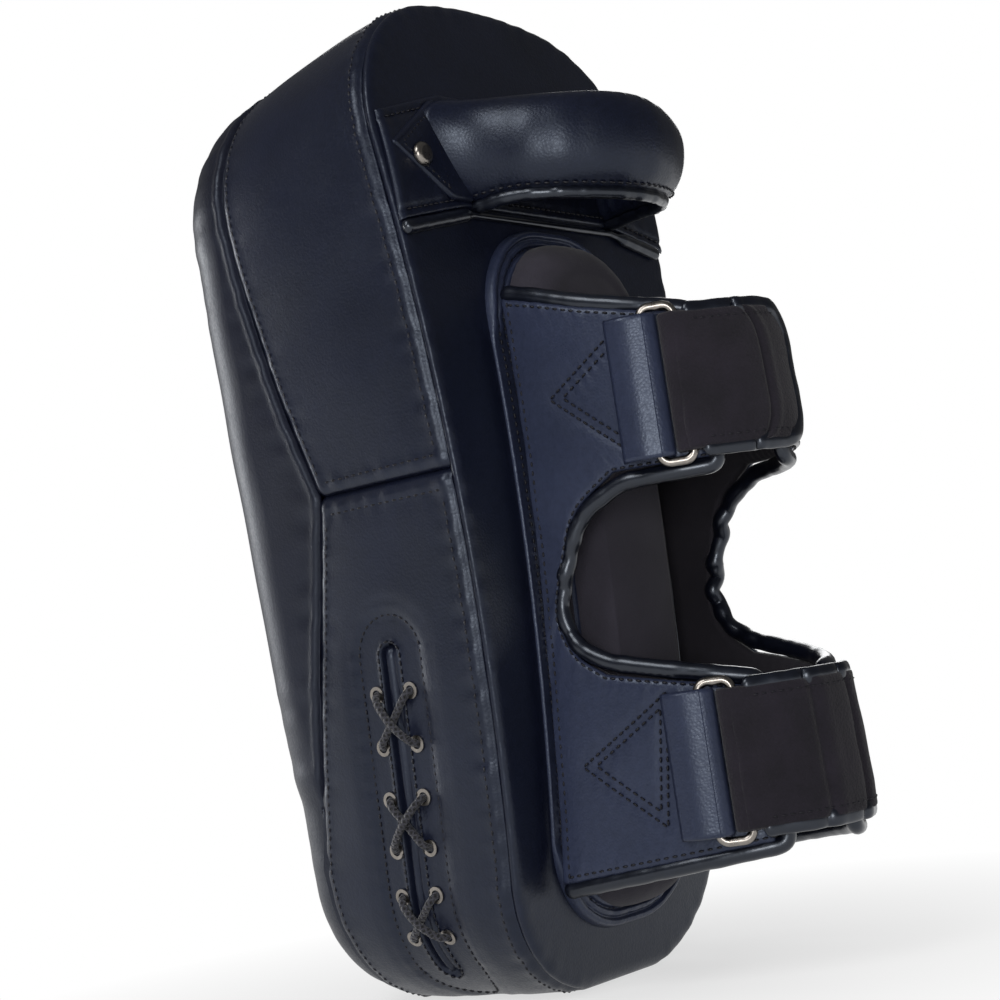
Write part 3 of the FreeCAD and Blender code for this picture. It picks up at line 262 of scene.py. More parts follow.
def undulate(points, wave_length, height):
    """Slow dents over a surface: products of sines in the three directions, at odd ratios."""
    k = 2 * np.pi / wave_length
    x, y, z = points[..., 0], points[..., 1], points[..., 2]
    return height * (np.sin(k * x + 1.3 * np.sin(0.7 * k * z)) * np.sin(0.9 * k * z + 0.8)
                     + 0.6 * np.sin(1.7 * k * y + 0.6 * k * z) * np.sin(1.3 * k * z - 0.4 * k * x + 2.0))


# The pad's outline and its two bowed sides

HEIGHT = 418.0
HALF_FOOT = 69.2
HALF_TOP = 99.4
SLOPE = (HALF_TOP - HALF_FOOT) / HEIGHT
STRETCH = math.sqrt(1 + SLOPE ** 2)
ARCH_RISE = 21.6
LOW_CORNER = 56.0
TOP_CORNER = 66.0
TOP_FALL = 0.18
BACK_RADIUS = 1200.0
BACK_REACH = 62.0
BACK_MIDDLE = 208.0
SEAM_LEVEL = 214.0
FRONT_ROUND = 26.0
BACK_ROUND = 6.0


def back_y(z, lift=0.0):
    """Bowed back: a circle, lifted outward."""
    return BACK_RADIUS - BACK_REACH - np.sqrt((BACK_RADIUS + lift) ** 2 - (z - BACK_MIDDLE) ** 2)


def back_seam(z):
    """Back seam: the bowed back, 4 inside its face."""
    return back_y(z, -4.0)


def front_seam(z):
    """Front seam: bowed runs from 12 at the middle seam to 37 above and 49.5 below."""
    up = np.clip((z - 214) / 131, 0, 1)
    down = np.clip((214 - z) / 152, 0, 1)
    run_up = 12 + 25 * up + 18 * up * (1 - up)
    run_down = 12 + 37.5 * down + 6 * down * (1 - down)
    foot = 49.5 - 6 * (62 - z) / 92
    return np.where(z > 214, run_up, np.where(z < 62, foot, run_down))


def top_drop(y):
    """How far the top lies lower at depth y than at the back: it falls towards the strike face."""
    return (y - back_y(HEIGHT)) * TOP_FALL


def outline(h, drop=0.0, inset=0.0):
    """Half outline of the pad from the middle of its foot to the middle of its top. h counts its
    seven runs: foot, lower arch, lower corner, side up to the middle seam, side above it, upper
    corner, upper arch. drop lowers the top end and inset moves the line in. Gives x, z and the
    normal's x and z."""
    h, drop, inset = np.broadcast_arrays(np.asarray(h, float), drop, inset)
    low_r, top_r = ((half ** 2 + ARCH_RISE ** 2) / (2 * ARCH_RISE) for half in (HALF_FOOT, HALF_TOP))
    low_c = low_r - 2.75
    top_c = HEIGHT - drop - top_r

    def corner(centre, radius, reach, sign):
        offset = HALF_FOOT - reach * STRETCH
        a = SLOPE ** 2 + 1
        b = 2 * (SLOPE * offset - centre)
        c = offset ** 2 + centre ** 2 - (radius - reach) ** 2
        z = (-b + sign * np.sqrt(b * b - 4 * a * c)) / (2 * a)
        return offset + SLOPE * z, z

    low_x, low_z = corner(low_c, low_r, LOW_CORNER, -1)
    top_x, top_z = corner(top_c, top_r, TOP_CORNER, 1)
    side = math.atan2(1, SLOPE)
    foot_x = np.sqrt((low_r - inset) ** 2 - (low_c - inset) ** 2)
    angles = [
        (np.arctan2(foot_x, low_c - inset), np.arctan2(low_x, low_c - low_z)),
        (np.arctan2(low_x, low_c - low_z), side),
        (side, np.arctan2(top_x, top_c - top_z)),
        (np.arctan2(top_x, top_c - top_z), np.pi),
    ]
    circles = [(0.0, low_c, low_r - inset), (low_x, low_z, LOW_CORNER - inset),
               (top_x, top_z, TOP_CORNER - inset), (0.0, top_c, top_r - inset)]
    runs = []
    for (start, end), (cx, cz, r), first in zip(angles, circles, (1, 2, 5, 6)):
        turn = start + (end - start) * np.clip(h - first, 0, 1)
        runs.append((cx + r * np.sin(turn), cz - r * np.cos(turn), np.sin(turn), -np.cos(turn)))
    low_side = low_z - (LOW_CORNER - inset) * SLOPE / STRETCH
    top_side = top_z - (TOP_CORNER - inset) * SLOPE / STRETCH
    rises = []
    for start, end, first in ((low_side, SEAM_LEVEL, 3), (SEAM_LEVEL, top_side, 4)):
        z = start + (end - start) * np.clip(h - first, 0, 1)
        rises.append((HALF_FOOT - inset * STRETCH + SLOPE * z, z,
                      np.full(h.shape, 1 / STRETCH), np.full(h.shape, -SLOPE / STRETCH)))
    foot = (foot_x * np.clip(h, 0, 1), inset + 0 * h, 0 * h, -np.ones(h.shape))
    choices = [foot, runs[0], runs[1], rises[0], rises[1], runs[2], runs[3]]
    which = [h <= 1, h <= 2, h <= 3, h <= 4, h <= 5, h <= 6, h <= 7.001]
    return [np.select(which, [choice[i] for choice in choices]) for i in range(4)]


RUN_H = np.concatenate([np.linspace(i, i + 1, 40, endpoint=False) for i in range(7)] + [[7.0]])
RUN_LENGTH = lengths_along(np.stack(outline(RUN_H)[:2], axis=1))


def around(start, end, step):
    """Values of h from start to end at even lengths along the outline."""
    first, last = np.interp([start, end], RUN_H, RUN_LENGTH)
    count = max(int(round((last - first) / step)), 2)
    return np.interp(np.linspace(first, last, count + 1), RUN_LENGTH, RUN_H)


def seam_dip(d, lip=0.45, depth=1.5):
    """Cross-section of a panel's edge at a seam: it falls by a bell curve into the seam and rises
    to a small lip beside it."""
    return lip * bell(d, 4.2, 2.2) - depth * bell(d, 0, 1.7)


def gusset_swell(along, z, y, level):
    """How far the gusset stands out: a soft swell that fades towards its seams, the dips of the
    seams, and gathers that fade within some millimetres of them."""
    back = np.maximum(y - back_seam(z), 0)
    front = np.maximum(front_seam(z) - y, 0)
    swell = 2.3 * (1 - np.exp(-back / 15)) * (1 - np.exp(-front / 15))
    swell = swell * (1 - np.exp(-level / 20) * 0.8)
    swell = swell + seam_dip(back) + seam_dip(front, 0.2, 1.2) + seam_dip(level)
    gather = ripple(along, (9.5, 0.5, 0.3), (14.3, 0.35, 1.9), (23.0, 0.4, 0.0))
    gather_front = ripple(along, (11.0, 0.5, 2.3), (17.1, 0.4, 0.4))
    swell = swell + 0.34 * gather * bell(back, 5, 5.0)
    swell = swell + 0.26 * gather_front * bell(front, 5, 5.0)
    return swell + 0.22 * ripple(y, (8.7, 0.6, 0.4), (13.9, 0.5, 1.0)) * bell(level, 5, 5.0)


def wall_normal(side, nx, nz):
    """Outward normal of the pad's wall, tilted where the top falls forwards."""
    return unit(np.stack([side * nx, TOP_FALL * np.clip(nz, 0, 1), nz], axis=-1))


def foot_fade(h):
    """0 under the flat foot and 1 from the lower corner up, so that the foot stays flat."""
    return np.clip((h - 0.9) / 1.2, 0, 1)


def wall(h, y, side):
    """Side of the pad at outline place h and depth y, swollen between its seams. side is -1 for the
    laced side and 1 for the other."""
    x, z, nx, nz = outline(h, top_drop(y))
    level = np.where((h > 2.9) & (h < 5.2), np.abs(z - SEAM_LEVEL), 200.0)
    along = np.interp(h, RUN_H, RUN_LENGTH)
    normal = wall_normal(side, nx, nz)
    points = np.stack([side * x, y + 0 * x, z], axis=-1)
    amount = (gusset_swell(along, z, y, level) + undulate(points, 95.0, 0.35)) * foot_fade(h)
    return points + amount[..., None] * normal, normal


def soft_steps(count, first=0.35):
    """Values from 0 to 1 that lie closer together at both ends."""
    t = np.linspace(0, 1, count)
    return first * (t - np.sin(2 * np.pi * t) / (2 * np.pi)) + (1 - first) * t


# Lacing: the slit, its stiff facing and the places of its eyelets

EYELET_LEVELS = (131.0, 109.5, 88.0, 67.5, 48.5, 31.0)
EYELET_OFFSET = 9.0
SLIT_FOOT = 18.0
SLIT_TOP = 146.0
SLIT_HALF = 4.0


def slit_middle(z):
    """Middle of the laced slit, which leans from 1.5 at its foot to -9.5 at its top."""
    return 1.5 - 11.0 * (np.clip(z, 0, 200) - SLIT_FOOT) / (SLIT_TOP - SLIT_FOOT)


def past_slit(z):
    """How far a height lies past the nearer end of the slit's straight part."""
    return np.maximum(np.maximum(z - SLIT_TOP, SLIT_FOOT - z), 0)


def slit_distance(y, z):
    """Distance from the middle line of the slit."""
    return np.hypot(past_slit(z), (y - slit_middle(z)) * 0.996)


SIDE_H = np.linspace(1.6, 4.0, 200)
SIDE_Z = outline(SIDE_H)[1]


def laced_point(z, y, lift):
    """Point of the laced side at height z and depth y, lifted outward."""
    h = np.interp(z, SIDE_Z, SIDE_H)
    x, _, nx, nz = outline(h)
    normal = np.stack([-nx, 0 * nx, nz], axis=-1)
    return np.stack([-x, y + 0 * x, z + 0 * x], axis=-1) + np.asarray(lift)[..., None] * normal, normal


def laced_wall(h, y, side):
    """Side of the pad, flat under the stiff facing of the lacing and rolled in at the slit."""
    points, normal = wall(h, y, side)
    x, z, _, _ = outline(h)
    middle = slit_distance(y, z)
    facing = np.clip((middle - 14.0) / 13.0, 0, 1)
    facing = facing * facing * (3 - 2 * facing)
    bare = np.stack([side * x, y + 0 * h, z], axis=-1)
    laced = (np.asarray(side) < 0) & (h < 4)
    share = np.where(laced, facing, 1.0)[..., None]
    edge = middle - SLIT_HALF
    curl = 0.10 + 0.5 * bell(edge, 1.6, 1.0) - 3.2 * bell(edge, 0, 0.75)
    curl = curl + 0.5 * bell(middle, 19.0, 2.2) - 0.5 * bell(middle, 16.4, 0.8)
    curl = curl + 0.16 * ripple(z, (6.3, 0.6, 0.2), (9.7, 0.6, 1.0)) * bell(middle, 19, 3.0)
    curl = np.where(laced, curl, 0.0)
    return points * share + bare * (1 - share) + curl[..., None] * normal, normal


# Finishes

class Signal:
    """A socket whose sums and products add Math nodes."""

    def __init__(self, finish, socket):
        self.finish, self.socket = finish, socket

    def math(self, operation, other):
        return self.finish.node("ShaderNodeMath", {"operation": operation}, {0: self, 1: other})

    def __add__(self, other):
        return self.math("ADD", other)

    def __mul__(self, other):
        return self.math("MULTIPLY", other)

    def larger(self, other):
        return self.math("MAXIMUM", other)

    def between(self, low, high):
        """0 below low, 1 above high and even between."""
        return self.finish.node("ShaderNodeMapRange", {"clamp": True},
                                {"Value": self, "From Min": low, "From Max": high})


class Finish:
    """A material built from nodes."""

    def __init__(self, name, **constants):
        self.material = bpy.data.materials.new(name)
        self.material.use_nodes = True
        self.tree = self.material.node_tree
        self.shader = self.tree.nodes["Principled BSDF"]
        for socket, value in constants.items():
            self.shader.inputs[socket.replace("_", " ")].default_value = value
        self.place = self.node("ShaderNodeTexCoord", {}, {}, "Object")
        self.cloth = self.node("ShaderNodeTexCoord", {}, {}, "UV")

    def node(self, kind, settings, values, output=0):
        """One node: its settings first, then its sockets' values or links."""
        made = self.tree.nodes.new(kind)
        for name, value in settings.items():
            if name == "stops":
                for element, (place, colour) in zip(made.color_ramp.elements, value):
                    element.position, element.color = place, tuple(colour) + (1,)
            else:
                setattr(made, name, value)
        for name, value in values.items():
            if isinstance(value, Signal):
                self.tree.links.new(value.socket, made.inputs[name])
            else:
                made.inputs[name].default_value = value
        return Signal(self, made.outputs[output])

    def feed(self, socket, signal):
        self.tree.links.new(signal.socket, self.shader.inputs[socket])

    def noise(self, scale, detail=3.0, rough=0.55, place=None):
        values = {"Vector": place or self.place, "Scale": scale, "Detail": detail, "Roughness": rough}
        return self.node("ShaderNodeTexNoise", {}, values, "Fac")

    def pebbles(self, scale):
        values = {"Vector": self.place, "Scale": scale, "Randomness": 0.95}
        return self.node("ShaderNodeTexVoronoi", {"feature": "F1"}, values, "Distance")

    def stretch(self, scale, turn=0.0, place=None):
        """The place or the cloth's own coordinates, scaled and turned."""
        values = {"Vector": place or self.cloth, "Scale": scale, "Rotation": (0, 0, turn)}
        return self.node("ShaderNodeMapping", {}, values)

    def wave(self, scale, place=None, direction="X"):
        values = {"Vector": place or self.cloth, "Scale": scale}
        settings = {"wave_type": "BANDS", "bands_direction": direction, "wave_profile": "SIN"}
        return self.node("ShaderNodeTexWave", settings, values, "Fac")

    def paint(self, amount, dark, light):
        """Base colour by an amount, between a dark and a light stop, each a place and a colour."""
        colour = self.node("ShaderNodeValToRGB", {"stops": (dark, light)}, {"Fac": amount}, "Color")
        self.feed("Base Color", colour)

    def bumps(self, height, distance, strength, under=None):
        values = {"Height": height, "Distance": distance, "Strength": strength}
        if under is not None:
            values["Normal"] = under
        return self.node("ShaderNodeBump", {}, values, "Normal")


def tint(red, green, blue):
    """Screen colour of 0 to 255 as the plain light values that shaders take."""
    values = np.array([red, green, blue]) / 255.0
    plain = np.where(values <= 0.04045, values / 12.92, ((values + 0.055) / 1.055) ** 2.4)
    return tuple(float(v) for v in plain)


COOL = (0.74, 0.84, 1.0, 1.0)


def leather(name, dark, light, rough, grain=1.0):
    """Fine pebbled synthetic leather: a cell grain under small creases, cloudy colour, and gloss
    that is duller in the grain's valleys and in rubbed patches."""
    f = Finish(name, Specular_IOR_Level=0.42, Coat_Roughness=0.35, Coat_Weight=0.04,
               Specular_Tint=COOL)
    cloud = f.noise(26.0, 4.0)
    fine = f.noise(420.0, 3.0)
    cells = f.pebbles(900.0)
    creases = f.noise(150.0, 5.0, 0.65)
    f.paint(cloud * 0.6 + fine * 0.4, (0.3, dark), (0.72, light))
    rubbed = f.noise(45.0, 3.0)
    f.feed("Roughness", rubbed * 0.16 + cells * 0.14 + (rough - 0.14))
    large = f.bumps(creases, 0.00012 * grain, 0.5)
    f.feed("Normal", f.bumps(cells * 0.8 + fine * 0.2, 0.00010 * grain, 0.7, large))
    return f.material


def glossy_binding():
    """Bound tape with a gloss: small creases, a fine grain and a cloudy colour."""
    f = Finish("Gloss binding", Specular_IOR_Level=0.5, Coat_Weight=0.3, Coat_Roughness=0.2,
               Specular_Tint=COOL)
    fine = f.noise(300.0, 3.0)
    creases = f.noise(110.0, 4.0, 0.7)
    f.paint(fine * 0.5 + creases * 0.5, (0.3, tint(6, 7, 15)), (0.75, tint(14, 17, 29)))
    f.feed("Roughness", fine * 0.16 + 0.24)
    f.feed("Normal", f.bumps(creases * 0.7 + fine * 0.3, 0.0003, 0.6))
    return f.material


def soft_neoprene(name, dark, light):
    """Matt neoprene with a faint knit face."""
    f = Finish(name, Specular_IOR_Level=0.25, Sheen_Weight=0.10, Sheen_Roughness=0.5)
    cloud = f.noise(30.0, 4.0)
    knit = f.pebbles(1400.0)
    fuzz = f.noise(900.0, 2.0)
    f.paint(cloud * 0.7 + fuzz * 0.3, (0.3, dark), (0.75, light))
    f.feed("Roughness", fuzz * 0.16 + 0.72)
    f.feed("Normal", f.bumps(knit * 0.6 + fuzz * 0.4, 0.00014, 0.7))
    return f.material


def brushed_loop():
    """Loop side of a hook and loop strap: a dense nap of short curls over a faint rib."""
    f = Finish("Loop strap", Specular_IOR_Level=0.2, Sheen_Weight=0.12, Sheen_Roughness=0.6)
    curls = f.noise(1100.0, 4.0, 0.7)
    tufts = f.pebbles(850.0)
    cloud = f.noise(60.0, 3.0)
    f.paint(curls * 0.45 + cloud * 0.55, (0.3, tint(15, 13, 20)), (0.78, tint(38, 33, 44)))
    f.feed("Roughness", curls * 0.15 + 0.78)
    f.feed("Normal", f.bumps(curls * 0.55 + tufts * 0.45, 0.0005, 0.8))
    return f.material


def hook_tape():
    """Hook side: rows of tiny stiff hooks."""
    f = Finish("Hook tape", Specular_IOR_Level=0.4)
    rows = f.wave(330.0) * f.wave(330.0, direction="Y")
    fuzz = f.noise(500.0)
    f.paint(rows * 0.7 + fuzz * 0.3, (0.2, tint(14, 14, 15)), (0.8, tint(38, 38, 40)))
    f.feed("Roughness", fuzz * 0.2 + 0.45)
    f.feed("Normal", f.bumps(rows, 0.0006, 0.9))
    return f.material


def braided_cord():
    """Round braided lace: two crossing slants of yarn along the cord."""
    f = Finish("Braided lace", Specular_IOR_Level=0.3, Sheen_Weight=0.2)
    left = f.wave(160.0, f.stretch((1.0, 1.0, 1.0), 0.72))
    right = f.wave(160.0, f.stretch((1.0, 1.0, 1.0), -0.72))
    yarn = left.larger(right)
    fuzz = f.noise(900.0, 3.0)
    f.paint(yarn * 0.75 + fuzz * 0.25, (0.35, tint(14, 14, 17)), (0.9, tint(58, 58, 66)))
    f.feed("Roughness", fuzz * 0.2 + 0.55)
    f.feed("Normal", f.bumps(yarn * 0.85 + fuzz * 0.15, 0.0007, 0.9))
    return f.material


def stitching():
    """Twisted sewing thread."""
    f = Finish("Sewing thread", Specular_IOR_Level=0.3)
    twist = f.noise(1600.0, 2.0)
    f.paint(twist, (0.25, tint(5, 5, 9)), (0.8, tint(30, 30, 40)))
    f.feed("Roughness", twist * 0.2 + 0.36)
    return f.material


def worn_nickel():
    """Plated steel wire: warm grey with faint scratches and duller patches."""
    f = Finish("Nickel plate", Metallic=1.0)
    patches = f.noise(140.0, 4.0)
    hair = f.noise(900.0, 2.0, place=f.stretch((1.0, 1.0, 0.15), place=f.place))
    f.paint(patches * 0.6 + hair * 0.4, (0.25, tint(112, 107, 102)), (0.8, tint(170, 164, 157)))
    f.feed("Roughness", patches * 0.20 + hair * 0.10 + 0.14)
    f.feed("Normal", f.bumps(hair, 0.00004, 0.5))
    return f.material


def dark_lining():
    """Thin dark nylon lining with a close weave."""
    f = Finish("Nylon lining", Specular_IOR_Level=0.3)
    weave = f.wave(420.0) * 0.5 + f.wave(420.0, direction="Y") * 0.5
    fuzz = f.noise(300.0)
    f.paint(weave * 0.4 + fuzz * 0.6, (0.25, tint(9, 9, 12)), (0.85, tint(22, 21, 26)))
    f.feed("Roughness", fuzz * 0.2 + 0.55)
    f.feed("Normal", f.bumps(weave, 0.0002, 0.6))
    return f.material


BODY = leather("Body leather", tint(12, 15, 29), tint(21, 25, 43), 0.36)
STRIKE = leather("Strike leather", tint(12, 13, 25), tint(20, 21, 36), 0.42, 1.1)
CUFF = leather("Cuff leather", tint(32, 37, 55), tint(46, 52, 74), 0.34, 1.15)
BINDING = glossy_binding()
NEOPRENE = soft_neoprene("Matt neoprene", tint(22, 20, 26), tint(34, 31, 38))
# The dome cushion gets a lighter copy of the matt neoprene. The lift is painted light, standing in for the
# light and reflection the dome catches. The cuffs' lining keeps the darker copy.
LIT_CUSHION_NEOPRENE = soft_neoprene("Cushion neoprene painted lighter", tint(42, 40, 48), tint(58, 55, 65))
LOOP = brushed_loop()
HOOKS = hook_tape()
CORD = braided_cord()
THREAD = stitching()
NICKEL = worn_nickel()
LINING = dark_lining()


# Pad cover: two gusset panels, the strike cover and the back panel

def thicken(piece, wall_thickness=1.6):
    """Gives an open sheet its thickness, inward from its outer face."""
    shell = piece.modifiers.new("Thickness", "SOLIDIFY")
    shell.thickness = wall_thickness * METRES
    shell.offset = -1.0
    return piece


def faces_out(points, outward):
    """True if the grid's own normals point against the given ones."""
    return float((normals_of(points) * outward).sum(-1).mean()) < 0


def cover_sheet(name, points, outward, finish, slot):
    """Open sheet of the cover from one grid, its faces turned to the outward side."""
    return make_piece(name, points, grid_faces(*points.shape[:2]), finish, slot, uv=grid_lengths(points),
                      turn=faces_out(points, outward), closed=False)


def gusset_depths(h, share, low, high):
    """Depth y of a share of the way between two seams, each a rule of height, at places h."""
    y = low(outline(h)[1]) * (1 - share) + high(outline(h)[1]) * share
    for _ in range(3):
        z = outline(h, top_drop(y))[1]
        y = low(z) * (1 - share) + high(z) * share
    return y


def signed_rows(start, end, step):
    """Places along both halves of the outline, as h and side, from the laced side to the other. A
    run that starts at the foot's middle passes under the foot, any other over the top."""
    half = around(start, end, step)
    if start == 0:
        half = half[::-1]
    side = np.concatenate([-np.ones(len(half)), np.ones(len(half) - 1)])
    return np.concatenate([half, half[::-1][1:]]), side


def make_upper_gusset():
    """Upper gusset: from the middle seam on one side over the top to the other."""
    h, side = signed_rows(4.0, 7.0, 2.2)
    h, share = np.meshgrid(h, soft_steps(54, 0.7), indexing="ij")
    side = side[:, None] + 0 * share
    y = gusset_depths(h, share, back_seam, front_seam)
    points, normal = wall(h, y, side)
    piece = cover_sheet("upper_gusset_panel", points, normal, BODY, "body_leather")
    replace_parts(thicken(piece), "upper_gusset", "middle_foam")


def make_lower_gusset():
    """Lower gusset: from the middle seam under the foot to the other side, in a rear and a front
    strip that part along the slit by its half width, which closes in a half circle at both ends."""
    h, side = signed_rows(0.0, 4.0, 1.7)
    share = soft_steps(34, 0.82)
    strips, lengths, faces, count = [], [], [], 0
    for front in (False, True):
        hh, ss = np.meshgrid(h, share, indexing="ij")
        sides = side[:, None] + 0 * ss
        z = outline(hh)[1]
        open_half = np.sqrt(np.clip(SLIT_HALF ** 2 - past_slit(z) ** 2, 0, None))
        half = np.where(sides < 0, open_half, 0.0)
        if front:
            y = (slit_middle(z) + half) * (1 - ss) + front_seam(z) * ss
        else:
            y = back_seam(z) * (1 - ss) + (slit_middle(z) - half) * ss
        points, normal = laced_wall(hh, y, sides)
        strips.append(points.reshape(-1, 3))
        lengths.append(grid_lengths(points).reshape(-1, 2) + [0, 60.0 * front])
        faces.append(grid_faces(*points.shape[:2]) + count)
        count += points.shape[0] * points.shape[1]
        turn = faces_out(points, normal)
    piece = make_piece("lower_gusset_panel", np.concatenate(strips), np.concatenate(faces), BODY,
                       "body_leather", uv=np.concatenate(lengths), turn=turn, closed=False)
    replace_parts(thicken(piece), "lower_gusset", "lace_facing")


SWELL = 1.9
FACE_MIDDLE = np.array([0.0, 0.0, 206.0])


def make_strike_cover():
    """Strike cover: from the front seam along the side, round a quarter circle, then in rings that
    shrink to the middle of the crowned face."""
    h, side = signed_rows(0.0, 7.0, 2.6)
    hh, ss = np.meshgrid(h, soft_steps(22, 0.6), indexing="ij")
    sides = side[:, None] + 0 * ss
    flank = lambda z: 70.0 - z / HEIGHT - FRONT_ROUND
    y = gusset_depths(hh, ss, front_seam, flank)
    x, z, nx, nz = outline(hh, top_drop(y))
    normal = wall_normal(sides, nx, nz)
    from_seam = np.maximum(y - front_seam(z), 0)
    along = np.interp(hh, RUN_H, RUN_LENGTH)
    amount = SWELL * (1 - np.exp(-from_seam / 12)) - 1.5 * bell(from_seam, 0, 0.9)
    amount = amount + 0.7 * bell(from_seam, 2.6, 1.8)
    amount = amount + 0.4 * ripple(along, (12.4, 0.5, 0.9), (19.0, 0.5, 2.2)) * bell(from_seam, 6, 6.0)
    points = np.stack([sides * x, y, z], axis=-1)
    amount = (amount + undulate(points, 110.0, 0.5)) * foot_fade(hh)
    side_end = amount[:, -1:]
    blocks = [points + amount[..., None] * normal]
    turn = np.linspace(0, np.pi / 2, 17)[1:]
    hh, tt = np.meshgrid(h, turn, indexing="ij")
    sides = side[:, None] + 0 * tt
    z = outline(hh)[1]
    y = flank(z) + FRONT_ROUND * np.sin(tt)
    x, z, nx, nz = outline(hh, top_drop(y), FRONT_ROUND * (1 - np.cos(tt)))
    points = np.stack([sides * x, y, z], axis=-1)
    normal = unit(np.stack([sides * nx * np.cos(tt), np.sin(tt), nz * np.cos(tt)], axis=-1))
    lift = side_end * (1 - tt / (np.pi / 2)) + SWELL * tt / (np.pi / 2)
    points = points + (lift + 0.4 * undulate(points, 110.0, 0.5))[..., None] * normal
    blocks.append(points)
    edge = points[:, -1:]
    shrink = 1 - soft_steps(20, 0.3)[1:]
    centre = FACE_MIDDLE + [0.0, edge[..., 1].mean(), 0.0]
    points = centre + (edge - centre) * shrink[None, :, None]
    points[..., 1] += 2.0 * (1 - shrink ** 5) + undulate(points, 130.0, 0.8) * (1 - shrink)
    blocks.append(points)
    points = np.concatenate(blocks, axis=1)
    piece = cover_sheet("strike_cover_skin", points, points - FACE_MIDDLE, STRIKE, "strike_leather")
    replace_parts(thicken(piece), "strike_cover", "strike_foam")


def make_back_panel():
    """Back panel: from the back seam round a soft edge, then in rings that shrink to the middle
    of the bowed back."""
    h, side = signed_rows(0.0, 7.0, 2.6)
    turn = np.linspace(0, np.pi / 2, 12)
    hh, tt = np.meshgrid(h, turn, indexing="ij")
    sides = side[:, None] + 0 * tt
    depth = lambda z: back_seam(z) - 4.0 * np.sin(tt)
    z = outline(hh, top_drop(back_seam(outline(hh)[1])))[1]
    x, z, nx, nz = outline(hh, top_drop(depth(z)), BACK_ROUND * (1 - np.cos(tt)))
    points = np.stack([sides * x, depth(z), z], axis=-1)
    normal = unit(np.stack([sides * nx * np.cos(tt), -np.sin(tt), nz * np.cos(tt)], axis=-1))
    along = np.interp(hh, RUN_H, RUN_LENGTH)
    away = tt / (np.pi / 2) * 7.0
    amount = -1.5 * bell(away, 0, 1.5) + 0.5 * bell(away, 3.2, 2.0)
    amount = amount + 0.22 * ripple(along, (10.7, 0.6, 1.1), (16.1, 0.5, 0.2)) * bell(away, 4, 3.0)
    points = points + (amount * foot_fade(hh))[..., None] * normal
    edge = points[:, -1:]
    shrink = 1 - soft_steps(24, 0.3)[1:]
    middle = np.array([0.0, 0.0, HEIGHT / 2])
    inner = middle + (edge - middle) * shrink[None, :, None]
    inner[..., 1] = back_y(inner[..., 2]) - 0.25 * (1 - shrink ** 8)
    points = np.concatenate([points, inner], axis=1)
    outward = points - middle - [0.0, 40.0, 0.0]
    piece = cover_sheet("back_panel_skin", points, outward, BODY, "body_leather")
    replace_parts(thicken(piece), "back_panel", "back_foam")


def sew_wall(h, y, side, **more):
    """One row of the cover's stitches on the pad's wall."""
    points, normal = laced_wall(h, y, side + 0 * h)
    stitch_row("cover_stitches", points, normal, **more)


def sew_cover():
    """Top stitching of the cover: beside the back seam, beside the front seam, on both sides of
    the middle seam, and two oval rows round the slit."""
    for side in (-1.0, 1.0):
        for start, end in ((0.9, 3.93), (4.07, 7.0)):
            h = around(start, end, 3.0)
            sew_wall(h, gusset_depths(h, 0.0 * h, lambda z: back_seam(z) + 5.0, front_seam), side)
            sew_wall(h, gusset_depths(h, 0 * h + 1.0, back_seam, lambda z: front_seam(z) - 4.6), side)
        for place in (4.0 - 4.8 / 105.0, 4.0 + 4.8 / 100.0):
            sew_wall(np.full(40, place), np.linspace(-53.0, 8.0, 40), side)
    for reach in (16.4, 5.7):
        run, turn = np.linspace(SLIT_FOOT, SLIT_TOP, 60), np.linspace(0, np.pi, 24)
        round_end = reach * np.sin(turn)
        z = np.concatenate([run, SLIT_TOP + round_end, run[::-1], SLIT_FOOT - round_end])
        half, arc = reach + 0 * run, reach * np.cos(turn)
        across = np.concatenate([half, arc, -half, -arc])
        h = np.interp(z, SIDE_Z, SIDE_H)
        sew_wall(h, slit_middle(z) + across, -1.0, pitch=3.3, length=2.3, sink=-0.4)
    sew("cover_stitches", THREAD, "body_leather")


def make_tongue():
    """Tongue under the lacing, with two soft folds along it."""
    z, across = np.meshgrid(np.linspace(3, 158, 70), np.linspace(-15, 15, 34), indexing="ij")
    y = slit_middle(z) + across
    near = np.clip((153 - z) / 5, 0, 1) * np.clip((z - 8) / 6, 0, 1)
    fold = 5.9 * np.exp(-(across / 5.4) ** 4) * near
    fold = fold + 0.8 * near * np.exp(-((across - 1.9 - 0.5 * np.sin(z / 19)) / 1.2) ** 2)
    fold = fold - 1.5 * near * np.exp(-((across + 0.2 - 0.8 * np.sin(z / 23)) / 0.5) ** 2)
    outer, _ = laced_point(z, y, -7.0 + fold)
    inner, _ = laced_point(z, y, -8.5 + 0 * z)
    piece = slab("lacing_tongue", outer, inner, BODY, "body_leather")
    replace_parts(piece, "lace_tongue")


